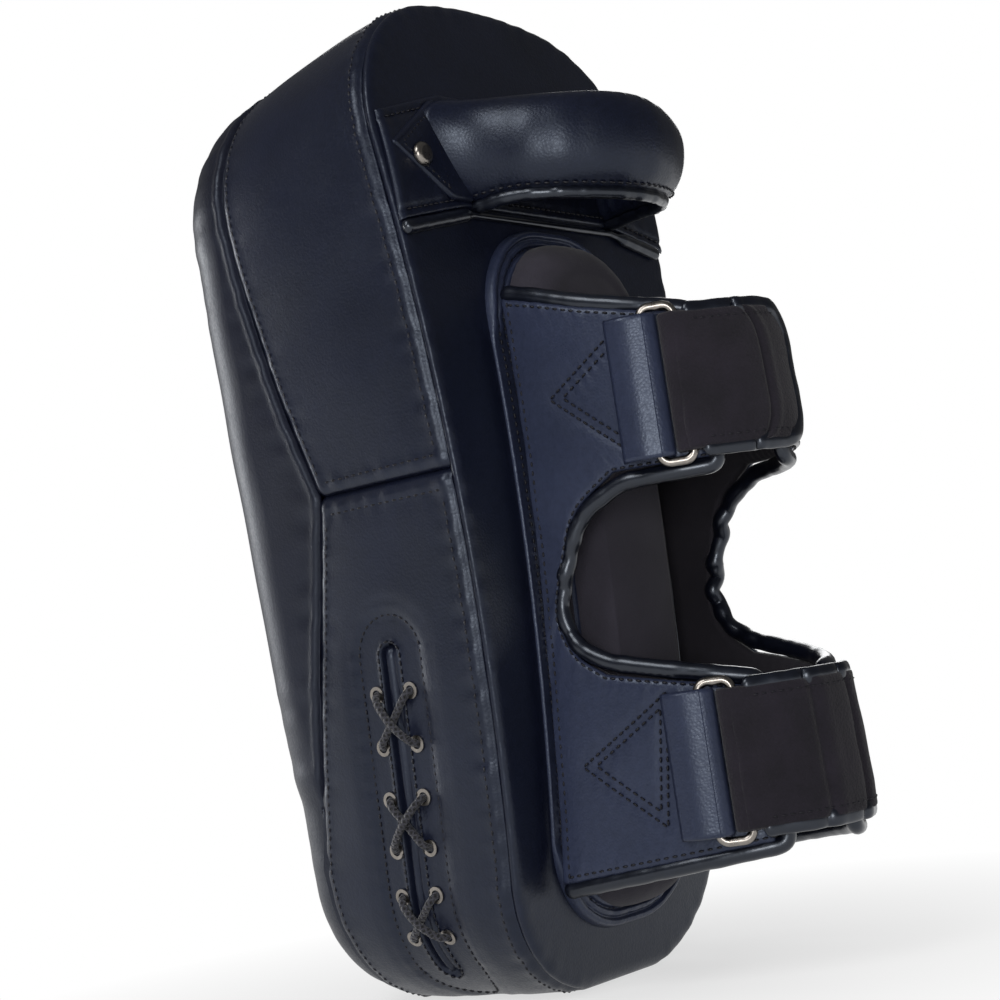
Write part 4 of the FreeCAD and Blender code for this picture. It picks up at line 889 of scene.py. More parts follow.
def make_lace():
    """Braided lace: each strand leaves an eyelet, crosses over the slit and goes down the next."""
    at = lambda z, shift, lift: laced_point(np.array(z), slit_middle(np.array(z)) + shift, lift)[0]
    strands = []
    for first, raised in ((1, True), (-1, False)):
        column, points = first, []
        for number, level in enumerate(EYELET_LEVELS):
            inside = at(level, column * EYELET_OFFSET, -5.6)
            outside = at(level, column * EYELET_OFFSET, 3.7)
            if number % 2 == 0:
                points += [inside, outside]
                middle = (level + EYELET_LEVELS[number + 1]) / 2
                points.append(at(middle, 0.0, 6.9 if raised else 2.6))
                column = -column
            else:
                points += [outside, inside]
        strands.append(points)
    route = np.array(list(reversed(strands[0])) + strands[1])
    path = resample(soft_route(route, 14), 0.7)
    facing = unit(np.tile([-1.0, 0.02, 0.03], (len(path), 1)))
    tangent = unit(np.gradient(path, axis=0))
    steep = np.abs((tangent * facing).sum(1))[:, None]
    facing = unit(facing * (1 - steep) + np.array([0.0, 0.35, 1.0]) * steep)
    even = lambda column: np.convolve(np.pad(column, 4, "edge"), np.ones(9) / 9, "valid")
    facing = unit(np.stack([even(facing[:, i]) for i in range(3)], 1))
    piece = roll("side_lacing", path, facing, 1.6, CORD, "lace_cord", sides=12)
    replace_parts(piece, "side_lace")


# Grip across the back

GRIP_LEVEL = 346.5
BAND_FACE = float(back_y(GRIP_LEVEL, 2.6))
OUTWARD = np.array([0.0, -1.0, 0.0])


def on_back(x, z, lift):
    """Point on the bowed back, lifted outward."""
    x, z, lift = np.broadcast_arrays(x, z, lift)
    return np.stack([x + 0.0 * z, back_y(z, lift), z + 0.0 * x], axis=-1)


def band_edge(x, level, fall):
    """Height of the band's edge, which falls towards both ends."""
    return level - fall * np.clip((np.abs(x) - 50) / 42, 0, 1)


def make_band():
    """Band under the grip: a closed strip with rounded edges and a soft swell between its two
    stitched edges, and the glossy bound roll that runs under it."""
    low_edge, top_edge = (321.5, 9.0), (371.0, 12.0)
    x, v = np.meshgrid(np.linspace(-91.5, 91.5, 150), soft_steps(26, 0.75), indexing="ij")
    low, top = band_edge(x, *low_edge), band_edge(x, *top_edge)
    z = low + (top - low) * v
    near = np.minimum(z - low, top - z)
    lift = 0.4 + 1.7 * pillow(x.shape, 3) + 1.1 * (1 - np.exp(-np.maximum(near - 4, 0) / 7))
    lift = lift - 0.55 * bell(near, 4.0, 0.9)
    lift = lift + 0.28 * ripple(x, (8.3, 0.5, 0.0), (13.0, 0.5, 1.2)) * bell(near, 5, 4.0)
    piece = slab("grip_band", on_back(x, z, lift), on_back(x, z, 0.05), BODY, "body_leather")
    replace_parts(piece, "grip_base_band")
    edge = np.linspace(-88, 88, 120)
    for z in (band_edge(edge, *low_edge) + 4.0, band_edge(edge, *top_edge) - 4.0):
        stitch_row("grip_stitches", on_back(edge, z, 2.2), np.tile(OUTWARD, (120, 1)))
    x = np.linspace(-92, 85, 220)
    z = band_edge(x, 318.4, 9.0)
    wobble = 1 + 0.035 * ripple(x, (7.3, 0.5, 0.4), (13.1, 0.6, 1.0), (23.0, 0.5, 0.0))
    path = on_back(x, z, 2.1)
    slim = 1 - 0.55 * np.clip((56 - np.abs(x - 4)) / 5, 0, 1)
    facing = np.tile([0.0, -1.0, 0.1], (220, 1))
    piece = roll("grip_band_roll", path, facing, 2.9 * wobble * slim, BINDING, "binding", high=0.8)
    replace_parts(piece, "grip_band_binding")


ARCH_PACE = 80.0


def droop(points):
    """Turns the arch 9 degrees down about the band's face at the grip's middle height."""
    turn = math.radians(9.0)
    y, z = points[..., 1] - BAND_FACE, points[..., 2] - GRIP_LEVEL
    found = points.copy()
    found[..., 1] = BAND_FACE + y * math.cos(turn) - z * math.sin(turn)
    found[..., 2] = GRIP_LEVEL + y * math.sin(turn) + z * math.cos(turn)
    return found


def grip_place(turn, out, up):
    """Point of the grip's arch: turn runs round half an ellipse from the laced side's foot, out
    is measured from the middle of its thickness and up from its middle height."""
    half, rise = 45.5, 56.5
    x = 4.0 - half * np.cos(turn)
    y = BAND_FACE - rise * np.sin(turn)
    normal = unit(np.stack([-rise * np.cos(turn), -half * np.sin(turn), 0 * turn], axis=-1))
    points = np.stack([x, y, GRIP_LEVEL + up], axis=-1) + np.asarray(out)[..., None] * normal
    return droop(points)


def grip_low_half(foot):
    """Lower half of the grip's width, which grows towards its feet."""
    return 18.4 + 4.2 * bell(foot, 0, 0.30)


def grip_top_half(turn):
    """Upper half of the grip's width, fullest on the laced side and slimmer at the far foot."""
    away = np.clip((turn - 1.35) / 1.1, 0, 1)
    return 20.4 + 1.0 * bell(turn, 1.15, 0.4) - 8.5 * away ** 2 * (3 - 2 * away)


def make_grip():
    """Padded grip: a thick arch whose section is a swollen oval, flared at its feet, with soft
    folds outside, gathers at its edges and creases inside its bend."""
    turn, a = np.meshgrid(np.linspace(-0.03, np.pi + 0.03, 150),
                          np.linspace(0, 2 * np.pi, 60, endpoint=False), indexing="ij")
    s, c = np.sin(a), np.cos(a)
    foot = np.minimum(turn + 0.03, np.pi + 0.03 - turn)
    wide = np.where(c > 0, grip_top_half(turn), grip_low_half(foot)) * np.sign(c) * np.abs(c) ** 0.94
    thick = np.where(s > 0, 11.2, 6.0) * np.sign(s) * np.abs(s) ** 0.94
    flare = 21.0 * np.exp(-foot / 0.12) * (0.5 + 0.5 * c) - 1.6 * bell(foot, 0.34, 0.16)
    along = ARCH_PACE * turn
    folds = 0.16 * ripple(along, (19.3, 0.6, 0.3), (31.0, 0.5, 1.7)) * np.clip(s, 0, 1)
    edge = np.exp(-((np.abs(c) - 0.93) / 0.08) ** 2)
    gathers = 0.28 * ripple(along, (7.1, 0.6, 0.3), (11.3, 0.6, 1.7)) * edge
    inside = 0.5 * ripple(along, (7.9, 0.6, 0.1), (12.7, 0.5, 1.3)) * np.clip(-s, 0, 1)
    points = grip_place(turn, thick + flare * np.clip(s, 0, 1) ** 0.5 + folds + gathers + inside, wide)
    tips = points.mean(axis=1, keepdims=True).repeat(points.shape[1], axis=1)
    points = np.concatenate([tips[:1], points, tips[-1:]], axis=0)
    faces = grid_faces(*points.shape[:2], wrap_columns=True)
    piece = make_piece("grip_roll", points, faces, BODY, "body_leather", uv=grid_lengths(points))
    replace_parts(piece, "grip_cover", "grip_foam")


def make_grip_lining():
    """Ribbed lining inside the grip's bend."""
    turn, share = np.meshgrid(np.linspace(0.09, np.pi - 0.09, 190), np.linspace(0, 1, 26), indexing="ij")
    up = -17.5 + (grip_top_half(turn) + 14.6) * share
    ribs = 0.75 * ripple(ARCH_PACE * turn, (5.2, 0.8, 0.3), (7.9, 0.4, 1.0))
    crown = -0.028 * up ** 2 / 1.6
    outer = grip_place(turn, -7.1 - crown + ribs * 0.8 * pillow(turn.shape, 3), up)
    inner = grip_place(turn, -5.0 - crown, up)
    piece = slab("grip_lining_ribs", outer, inner, LINING, "body_leather")
    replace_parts(piece, "grip_lining")


def make_grip_edges():
    """Bound edges of the grip, and the stitch row above the lower one."""
    turn = np.linspace(0.05, np.pi - 0.05, 170)
    foot = np.minimum(turn, np.pi - turn)
    bumps = 1 + 0.04 * ripple(ARCH_PACE * turn, (8.3, 0.5, 0.4), (14.7, 0.6, 1.0))
    sway = 0.3 * ripple(ARCH_PACE * turn, (19.0, 0.7, 0.0), (31.0, 0.4, 1.0))
    low, top = -grip_low_half(foot) - 1.3, grip_top_half(turn) - 3.6
    for name, node, height, out, size in (("grip_lower_roll", "grip_lower_binding", low, 1.6, 3.0),
                                          ("grip_upper_roll", "grip_upper_binding", top, -5.4, 1.9)):
        path = grip_place(turn, out + sway, height)
        facing = unit(grip_place(turn, 10 + 0 * turn, height) - grip_place(turn, 0 * turn, height))
        piece = roll(name, path, facing, size * bumps, BINDING, "binding", high=0.85)
        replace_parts(piece, node)
    rows = grip_place(turn, 6.3 + 0 * turn, -grip_low_half(foot) * 0.90)
    stitch_row("grip_stitches", rows, unit(facing + np.array([0, 0, -0.8])), pitch=3.8)


TAB_TIP = 88.6
TAB_HALF = 21.5
TAB_LEVEL = 345.25


def make_end_tabs():
    """Pointed end tabs of the grip: a flat leather slab that narrows to its outer point, stitched
    along its slanting edges and along the grip's foot."""
    for name, node, side, foot in (("grip_tab_left", "grip_end_tab_left", -1, 58.0),
                                   ("grip_tab_right", "grip_end_tab_right", 1, 66.0)):
        u, v = np.meshgrid(soft_steps(30, 0.6), np.linspace(-1, 1, 31), indexing="ij")
        foot_in = foot - 12.0
        reach = foot_in + (88.5 - foot_in) * u
        left = 1 - np.clip((reach - foot) / (TAB_TIP - foot), 0, 1)
        half = np.where(reach < foot, TAB_HALF, TAB_HALF * left + 0.6)
        x = side * reach
        z = TAB_LEVEL + half * v
        near = np.minimum(half * (1 - np.abs(v)), 0.9 * (TAB_TIP - reach) + 0.2)
        lift = 2.7 + 1.5 * quarter_round(near / 1.6)
        lift = lift - 0.35 * bell(near, 2.9, 0.7) + 0.3 * np.clip(near / 8, 0, 1)
        piece = slab(name, on_back(x, z, lift), on_back(x, z, 2.4), BODY, "body_leather")
        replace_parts(piece, node)
        tip, low, high = (83.4, TAB_LEVEL), (foot + 1.0, 327.6), (foot + 1.0, 362.9)
        for start, end in ((low, tip), (tip, high), ((foot + 2.6, 328), (foot + 2.6, 362))):
            x, z = np.linspace(start, end, 30).T
            points = on_back(side * x, z, 4.15)
            stitch_row("grip_stitches", points, np.tile(OUTWARD, (30, 1)), pitch=3.2, length=2.3)


# Forearm sleeve: its base, the padded dome and the two cuffs

def rounded_box_line(half, low, top, radius, count=240):
    """Closed rounded rectangle from the middle of its lower edge, at even lengths."""
    corners = [(half - radius, low + radius, -90), (half - radius, top - radius, 0),
               (-half + radius, top - radius, 90), (-half + radius, low + radius, 180)]
    points = [np.array([[0.0, low]])]
    for cx, cz, start in corners:
        turn = np.radians(np.linspace(start, start + 90, 24))
        points.append(np.stack([cx + radius * np.cos(turn), cz + radius * np.sin(turn)], axis=1))
    points.append(np.array([[0.0, low]]))
    path = np.concatenate(points)
    along = lengths_along(path)
    wanted = np.linspace(0, along[-1], count, endpoint=False)
    line = np.stack([np.interp(wanted, along, path[:, i]) for i in range(2)], axis=1)
    tangent = np.roll(line, -1, 0) - np.roll(line, 1, 0)
    inward = unit(np.stack([-tangent[:, 1], tangent[:, 0]], axis=1))
    return line, inward, wanted


def raised_patch(name, box, depths, lifts, base, finish, slot, gathers, middle):
    """Raised patch on the back: rings that follow a rounded rectangle at growing depths inside it,
    each with its lift, then shrink to a middle line, with a flat closed underside. Along the
    straight sides, which the cuffs cover, the rings stay low."""
    half, low, top, _ = box
    line, inward, along = rounded_box_line(*box)
    depths, lifts = np.asarray(depths, float), np.asarray(lifts, float)
    rings = line[:, None, :] + inward[:, None, :] * depths[None, :, None]
    lift = np.repeat(lifts[None, :], len(line), 0)
    beside = np.clip((line[:, 1] - low - 26) / 14, 0, 1) * np.clip((top - 36 - line[:, 1]) / 14, 0, 1)
    lift = np.minimum(lift, 1.6) * beside[:, None] + lift * (1 - beside)[:, None]
    wave = ripple(along, (6.9, 0.6, 0.1), (11.3, 0.5, 1.3), (17.9, 0.4, 0.2))[:, None]
    lift = lift + gathers * wave * bell(depths, 6.0, 4.5)[None, :]
    edge = rings[:, -1:]
    spine = np.stack([0 * edge[..., 0], np.clip(edge[..., 1], low + half, top - half)], axis=-1)
    share = np.linspace(0, 1, 14)[1:]
    inner = edge + (spine - edge) * share[None, :, None]
    top_lift = lifts[-1] + middle * (1 - (1 - share) ** 2)
    lift = np.concatenate([lift, np.repeat(top_lift[None, :], len(line), 0)], axis=1)
    rings = np.concatenate([rings, inner], axis=1)
    outer = on_back(rings[..., 0], rings[..., 1], lift)
    under_rings = np.stack([rings[:, 0], rings[:, 0] * 0.98 + spine[:, 0] * 0.02, spine[:, 0]], axis=1)
    under = on_back(under_rings[..., 0], under_rings[..., 1], base)
    points = np.concatenate([under[:, ::-1], outer], axis=1)
    faces = grid_faces(*points.shape[:2], wrap_rows=True)
    return make_piece(name, points, faces, finish, slot, uv=grid_lengths(points))


def ridge(depths, middle, width, height):
    """Round ridge across the rim: a flat-topped bell curve."""
    return height * np.exp(-((depths - middle) / width) ** 4)


SLEEVE_BOX = (49.3, 22.2, 314.8, 42.0)
CUSHION_BOX = (39.6, 30.0, 307.5, 36.0)


def make_sleeve_base():
    """Padded base of the sleeve: leather with a bound roll at its rim, two ridges inside it and
    stitch rows between them, and the domed neoprene cushion on it."""
    depths = np.concatenate([np.linspace(0, 14, 44), np.linspace(14.6, 22, 8)])
    lifts = 1.2 + ridge(depths, 2.1, 1.9, 3.2) + ridge(depths, 5.9, 1.7, 3.0) + ridge(depths, 9.7, 1.7, 3.5)
    lifts = np.where(depths > 11.4, 4.0 + 0.5 * bell(depths, 13, 2), lifts)
    lifts[0] = 0.4
    piece = raised_patch("sleeve_base_pad", SLEEVE_BOX, depths, lifts, 0.1, CUFF, "cuff_leather",
                         gathers=0.35, middle=0.4)
    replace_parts(piece, "sleeve_base", "sleeve_base_binding")
    line, inward, _ = rounded_box_line(*SLEEVE_BOX)
    up = np.tile(OUTWARD, (len(line) + 1, 1))
    for depth, lift in ((4.0, 2.3), (7.8, 2.5), (11.6, 3.4)):
        ring = line + inward * depth
        ring = np.concatenate([ring, ring[:1]])
        stitch_row("sleeve_stitches", on_back(ring[:, 0], ring[:, 1], lift), up, pitch=3.4, length=2.3)
    depths = np.concatenate([np.linspace(0, 1.5, 6), np.linspace(2, 16, 22)])
    lifts = 4.4 + 15.6 * quarter_round(depths / 13)
    # The cushion uses the lighter neoprene copy, whose extra brightness is painted light on the dome.
    piece = raised_patch("forearm_cushion", CUSHION_BOX, depths, lifts, 3.4, LIT_CUSHION_NEOPRENE, "neoprene",
                         gathers=0.12, middle=2.6)
    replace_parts(piece, "forearm_cushion_cover", "forearm_cushion_foam")


def cuff_sizes(z):
    """Start, depth and half width of the cuffs' half ellipse, all linear in height."""
    share = (z - 43.0) / 219.0
    return -58.0 - 17.0 * share, 106.0 - 25.0 * share, 50.5 - 4.5 * share


def cuff_turn(y, z):
    """Angle round the cuffs' ellipse at depth y, carried on evenly past its start."""
    root, depth, _ = cuff_sizes(z)
    t = (root - y) / depth
    return np.where(t > 0, np.arcsin(np.clip(t, -1, 1)), t)


def cuff_place(turn, z, lift=0.0):
    """Point on the cuffs. turn below zero runs along the straight leg, above it round the
    ellipse. lift goes outward along the surface's normal, which is also given."""
    root, depth, half = cuff_sizes(z)
    round_turn = np.maximum(turn, 0)
    x = -half * np.cos(round_turn)
    y = root - depth * np.sin(round_turn) - depth * np.minimum(turn, 0)
    normal = unit(np.stack([-depth * np.cos(round_turn), -half * np.sin(round_turn), 0 * (x + z)], axis=-1))
    points = np.stack([x + 0 * z, y + 0 * z, z + 0 * x], axis=-1)
    return points + np.asarray(lift)[..., None] * normal, normal


def mirror_x(points):
    return points * np.array([-1.0, 1.0, 1.0])


def cuff_edges(notch_extra, end_x, count=44):
    """Outer and inner edge of one cuff in depth and height, from the lower flap's free end by the
    root to the upper flap's free end, as turn and height. notch_extra moves the notch outward."""
    t = np.linspace(0, 1, count)
    end_y = lambda z: cuff_sizes(z)[0] - cuff_sizes(z)[1] * np.sqrt(1 - (end_x / cuff_sizes(z)[2]) ** 2)
    base_y = lambda z: back_y(z, 5.2)
    low_rule = lambda y: 41.0 + (-30.0 - y) * 14.0 / 160.0 + 1.2 * np.sin((-y - 60) / 60.0)
    top_rule = lambda y: np.interp(-y, [60, 66, 80, 100, 125, 150, 175, 190],
                                   [284.6, 284, 279.8, 273, 266, 260, 257.6, 257])
    root_y = -73.0 - notch_extra
    low_y = end_y(54.0) + (base_y(44.0) - end_y(54.0)) * t
    low = np.stack([low_y, low_rule(low_y)], axis=1)
    root_z = low[-1, 1] + (284.3 - low[-1, 1]) * t
    root = np.stack([base_y(root_z), root_z], axis=1)
    top_y = base_y(284.0) + (end_y(258.0) - base_y(284.0)) * t
    top = np.stack([top_y, top_rule(top_y)], axis=1)
    bow = smooth_path([(root_y - 35, 199), (root_y - 16, 189), (root_y - 7, 174), (root_y, 153),
                       (root_y - 6, 138), (root_y - 19, 130)], 12)[::-1]
    lower = np.linspace(end_y(105.0), root_y - 19, count)
    lower = np.stack([lower, 130 - 24.5 * (root_y - 19 - lower) / 98.0], axis=1)
    upper = np.linspace(root_y - 35, end_y(200.5), count)
    upper = np.stack([upper, 199 + 2.0 * (root_y - 35 - upper) / 82.0], axis=1)
    along = lengths_along(bow)
    bow = np.stack([np.interp(np.linspace(0, along[-1], count), along, bow[:, i]) for i in range(2)], axis=1)
    outer = np.concatenate([low, root[1:], top[1:]])
    inner = np.concatenate([lower, bow[1:], upper[1:]])
    return [np.stack([cuff_turn(edge[:, 0], edge[:, 1]), edge[:, 1]], axis=1) for edge in (outer, inner)]


def flat_cloth(turn, z):
    """Place on the cuffs' cloth laid flat, as the length round it and the height."""
    return np.stack([turn * 0.82 * cuff_sizes(z)[1], z], axis=-1)


def line_dip(turn, z, corners, width):
    """Bell curve about a closed line of corners on the cuffs, by distance on the flat cloth."""
    flat = flat_cloth(turn, z)
    total = 0.0
    for start, end in zip(corners, corners[1:] + corners[:1]):
        a, b = (flat_cloth(math.radians(degrees), level) for degrees, level in (start, end))
        t = np.clip(((flat - a) * (b - a)).sum(-1) / ((b - a) ** 2).sum(), 0, 1)
        away = np.linalg.norm(flat - (a + t[..., None] * (b - a)), axis=-1)
        total = np.maximum(total, bell(away, 0, width))
    return total


UPPER_TRIANGLE = [(7.3, 236.5), (32.2, 261.0), (33.5, 205.5)]
LOWER_TRIANGLE = [(7.7, 91.1), (31.3, 116.0), (27.4, 64.5)]


def inner_triangle(corners, share=0.24):
    """The same triangle drawn in towards its middle."""
    middle = np.mean(corners, axis=0)
    return [tuple(np.asarray(c) + (middle - np.asarray(c)) * share) for c in corners]


def skin_dents(turn, z):
    """Slow dents of the cuffs' skin."""
    return undulate(cuff_place(turn, z)[0], 85.0, 0.16)


def make_cuff(side):
    """One C-shaped side of the sleeve: leather skin with a soft swell and sunk seams, neoprene
    lining, and a puffed bound edge gathered along the notch and the root."""
    near = side == "near"
    place = (lambda p: p) if near else mirror_x
    name = "near_cuff" if near else "far_cuff"
    node = "near_sleeve" if near else "far_sleeve"
    outer_edge, inner_edge = cuff_edges(0.0 if near else 15.0, 26.0 if near else 3.0)
    share = soft_steps(30, 0.6)
    blend = lambda s: (outer_edge[:, None, :] * (1 - s)[None, :, None]
                       + inner_edge[:, None, :] * s[None, :, None])
    flat = blend(share * 0.92 + 0.03)[2:-2]
    turn, z = flat[..., 0], flat[..., 1]
    along = np.arange(len(flat))[:, None] * 3.0 + 0 * z
    edge_share = np.minimum(share, 1 - share)[None, :]
    root_zone = bell(z, 165, 45.0) * np.exp(-np.maximum(turn, 0) / 0.25)
    swell = 1.3 * pillow(turn.shape, 4) - 0.4 + skin_dents(turn, z)
    swell = swell + 0.35 * ripple(along, (17.0, 0.6, 0.2), (29.0, 0.5, 1.0)) * root_zone
    swell = swell + 0.22 * ripple(along, (9.3, 0.6, 0.4), (14.0, 0.5, 1.1)) * bell(edge_share, 0, 0.10)
    if near:
        for triangle in (UPPER_TRIANGLE, LOWER_TRIANGLE):
            dips = [line_dip(turn, z, line, 1.1) for line in (triangle, inner_triangle(triangle))]
            swell = swell - 0.55 * np.maximum(*dips)
    outer, _ = cuff_place(turn, z, swell)
    inner, _ = cuff_place(turn, z, -1.9 + 0 * z)
    piece = slab(name + "_skin", place(outer), place(inner), CUFF, "cuff_leather")
    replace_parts(piece, node)
    outer, _ = cuff_place(turn, z, -2.1 + 0 * z)
    inner, _ = cuff_place(turn, z, -3.6 - 2.0 * pillow(turn.shape, 4) + 0.2 * ripple(along, (13.0, 0.6, 0.4)))
    piece = slab(name + "_inside", place(outer), place(inner), NEOPRENE, "neoprene")
    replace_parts(piece, node + "_lining")
    third = len(outer_edge) // 3
    low, top = outer_edge[:third + 1][::-1], outer_edge[-third - 1:]
    ends = [np.linspace(outer_edge[0], inner_edge[0], 14), np.linspace(inner_edge[-1], outer_edge[-1], 14)]
    route = np.concatenate([low, ends[0][1:], inner_edge[1:], ends[1][1:], top[::-1][1:]])
    points, normal = cuff_place(route[:, 0], route[:, 1], -2.6 + 0 * route[:, 0])
    points, normal = resample(points, 1.1, normal)
    normal = unit(normal)
    along = lengths_along(points)
    height = points[:, 2]
    notch = bell(height, 165.0, 32.0) * np.exp(-(np.maximum(-points[:, 1] - 76, 0) / 40.0) ** 2)
    gather = ripple(along, (11.1, 0.5, 0.3), (17.7, 0.6, 1.9), (7.3, 0.25, 0.0))
    size = 3.6 * (1 + 0.03 * gather + (0.05 if near else 0.10) * gather * notch)
    sway = (0.5 if near else 1.8) * notch * ripple(along, (15.5, 0.8, 0.6), (10.1, 0.4, 0.0))
    for _ in range(14):
        points[1:-1] = 0.25 * points[:-2] + 0.5 * points[1:-1] + 0.25 * points[2:]
    points = points + sway[:, None] * normal
    piece = roll(name + "_edge", place(points), place(normal), size, BINDING, "binding", high=0.9)
    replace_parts(piece, node + "_binding")
    beside_edge = blend(np.array([0.062, 1 - 0.062]))
    beside_root = blend(np.array([0.05]))[third:-third, 0]
    for rows, shift, lift in ((beside_edge[:third, 0], 0.0, 1.0), (beside_edge[-third:, 0], 0.0, 1.0),
                              (beside_edge[:, 1], 0.0, 1.0), (beside_root, 0.03, 0.9)):
        turn, z = rows.T
        points, normal = cuff_place(turn + shift, z, lift + skin_dents(turn, z))
        stitch_row("sleeve_stitches", place(points), place(normal), length=2.4)


def sew_triangles():
    """Double rows of the two triangles on the near cuff."""
    for triangle in (UPPER_TRIANGLE, LOWER_TRIANGLE):
        for corners in (triangle, inner_triangle(triangle)):
            for start, end in zip(corners, corners[1:] + corners[:1]):
                turn, z = np.linspace(start, end, 24).T
                turn = np.radians(turn)
                points, normal = cuff_place(turn, z, 1.15 + skin_dents(turn, z))
                stitch_row("sleeve_stitches", points, normal, pitch=3.3, length=2.4)


# Rings, tabs, straps and their tails

RING_LEVELS = {"upper": 233.0, "lower": 87.0}
RING_TURN = math.radians(49.0)
RING_WIDTH = 13.0
BAR_LIFT = 4.7
STRAP_THICKNESS = 1.9


def strap_frame(z):
    """Centre of the ring's strap bar, its tangent round the cuff and the outward normal."""
    _, depth, half = cuff_sizes(z)
    tangent = np.array([half * math.sin(RING_TURN), -depth * math.cos(RING_TURN), 0.0])
    tangent = tangent / np.linalg.norm(tangent)
    outward = np.array([tangent[1], -tangent[0], 0.0])
    surface = cuff_place(np.array(RING_TURN), np.array(z))[0]
    return surface + outward * BAR_LIFT, tangent, outward


def folded_strip(path, z_low, z_high, origin, tangent, outward):
    """Strip folded along a flat path in the tangent and outward directions, of the given width in
    height, as its outer and inner grid. Its long edges are rounded."""
    path = np.asarray(path, float)
    slope = unit(np.gradient(path, axis=0))
    side = np.stack([-slope[:, 1], slope[:, 0]], axis=1)
    z = z_low + (z_high - z_low) * soft_steps(34, 0.5)
    room = np.minimum(z - z_low, z_high - z)
    round_off = quarter_round(room / 1.2, 0.02)
    grids = []
    for sign in (1, -1):
        flat = path[:, None, :] + sign * 0.5 * STRAP_THICKNESS * round_off[None, :, None] * side[:, None, :]
        points = origin + flat[..., :1] * tangent + flat[..., 1:] * outward
        points = points + 0 * z[None, :, None]
        points[..., 2] = z[None, :]
        grids.append(points)
    return grids


def fold_path(tail, drop, radius, first_angle, out, reach_in):
    """Flat path of a strip that comes along the cuff, turns round a bar from its first angle and
    comes back."""
    turn = np.radians(np.linspace(first_angle, 90, 22))
    arc = np.stack([1.75 * radius * np.cos(turn), radius * np.sin(turn)], axis=1)
    start = np.array([[tail, drop]])
    ease = np.array([[tail * 0.45, -radius + (drop + radius) * 0.35]])
    back = np.array([[reach_in * 0.5, radius * 0.86], [reach_in, out]])
    return smooth_path(np.concatenate([start, ease, arc, back]), 5)


def make_ring_tab(which):
    """Leather tab folded round the ring's near bar and stitched down beside it."""
    z = RING_LEVELS[which]
    centre, tangent, outward = strap_frame(z)
    origin = centre - RING_WIDTH * tangent
    path = fold_path(-14.5, -2.9, 3.05, -90, -1.0, -14.0)
    outer, inner = folded_strip(path, z - 28.2, z + 28.2, origin, tangent, outward)
    piece = slab(which + "_tab", outer, inner, CUFF, "cuff_leather")
    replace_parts(piece, which + "_ring_tab")
    points = np.tile(origin - 12.6 * tangent + 0.35 * outward, (30, 1))
    points[:, 2] = np.linspace(z - 26, z + 26, 30)
    stitch_row("sleeve_stitches", points, np.tile(outward, (30, 1)), pitch=3.3, length=2.3)


def strap_sheet(turn_low, turn_end, z_low, z_high, lift, thickness, rows=70, creases=(), tip=0.0):
    """Sheet that follows the cuff at a lift, between two heights, with rounded edges, creases
    across it and a rounded free end, as outer and inner grids, and its turns and heights."""
    u, v = np.meshgrid(np.linspace(0, 1, rows), soft_steps(30, 0.55), indexing="ij")
    turn = turn_low + (turn_end - turn_low) * u
    z = z_low + (z_high - z_low) * v
    if tip:
        width = z_high - z_low
        reach = np.clip(np.abs(v - 0.5) * width - (width / 2 - tip), 0, tip)
        back_off = (tip - np.sqrt(np.clip(tip ** 2 - reach ** 2, 0, None))) / 62.0
        turn = turn_low + (turn_end - back_off - turn_low) * u
    edge = np.minimum(z - z_low, z_high - z)
    top = thickness * quarter_round(edge / 1.3, 0.1)
    top = top + 0.35 * np.clip((edge - 4) / 6, 0, 1)
    for place in creases:
        top = top - 1.3 * bell(u, place, 0.020) + 0.7 * bell(u - place, 0.06, 0.04)
    points = cuff_place(turn, z, lift + 0 * z)[0]
    top = top + undulate(points, 37.0, 0.22)
    outer = cuff_place(turn, z, lift + top)[0]
    return outer, points, turn, z


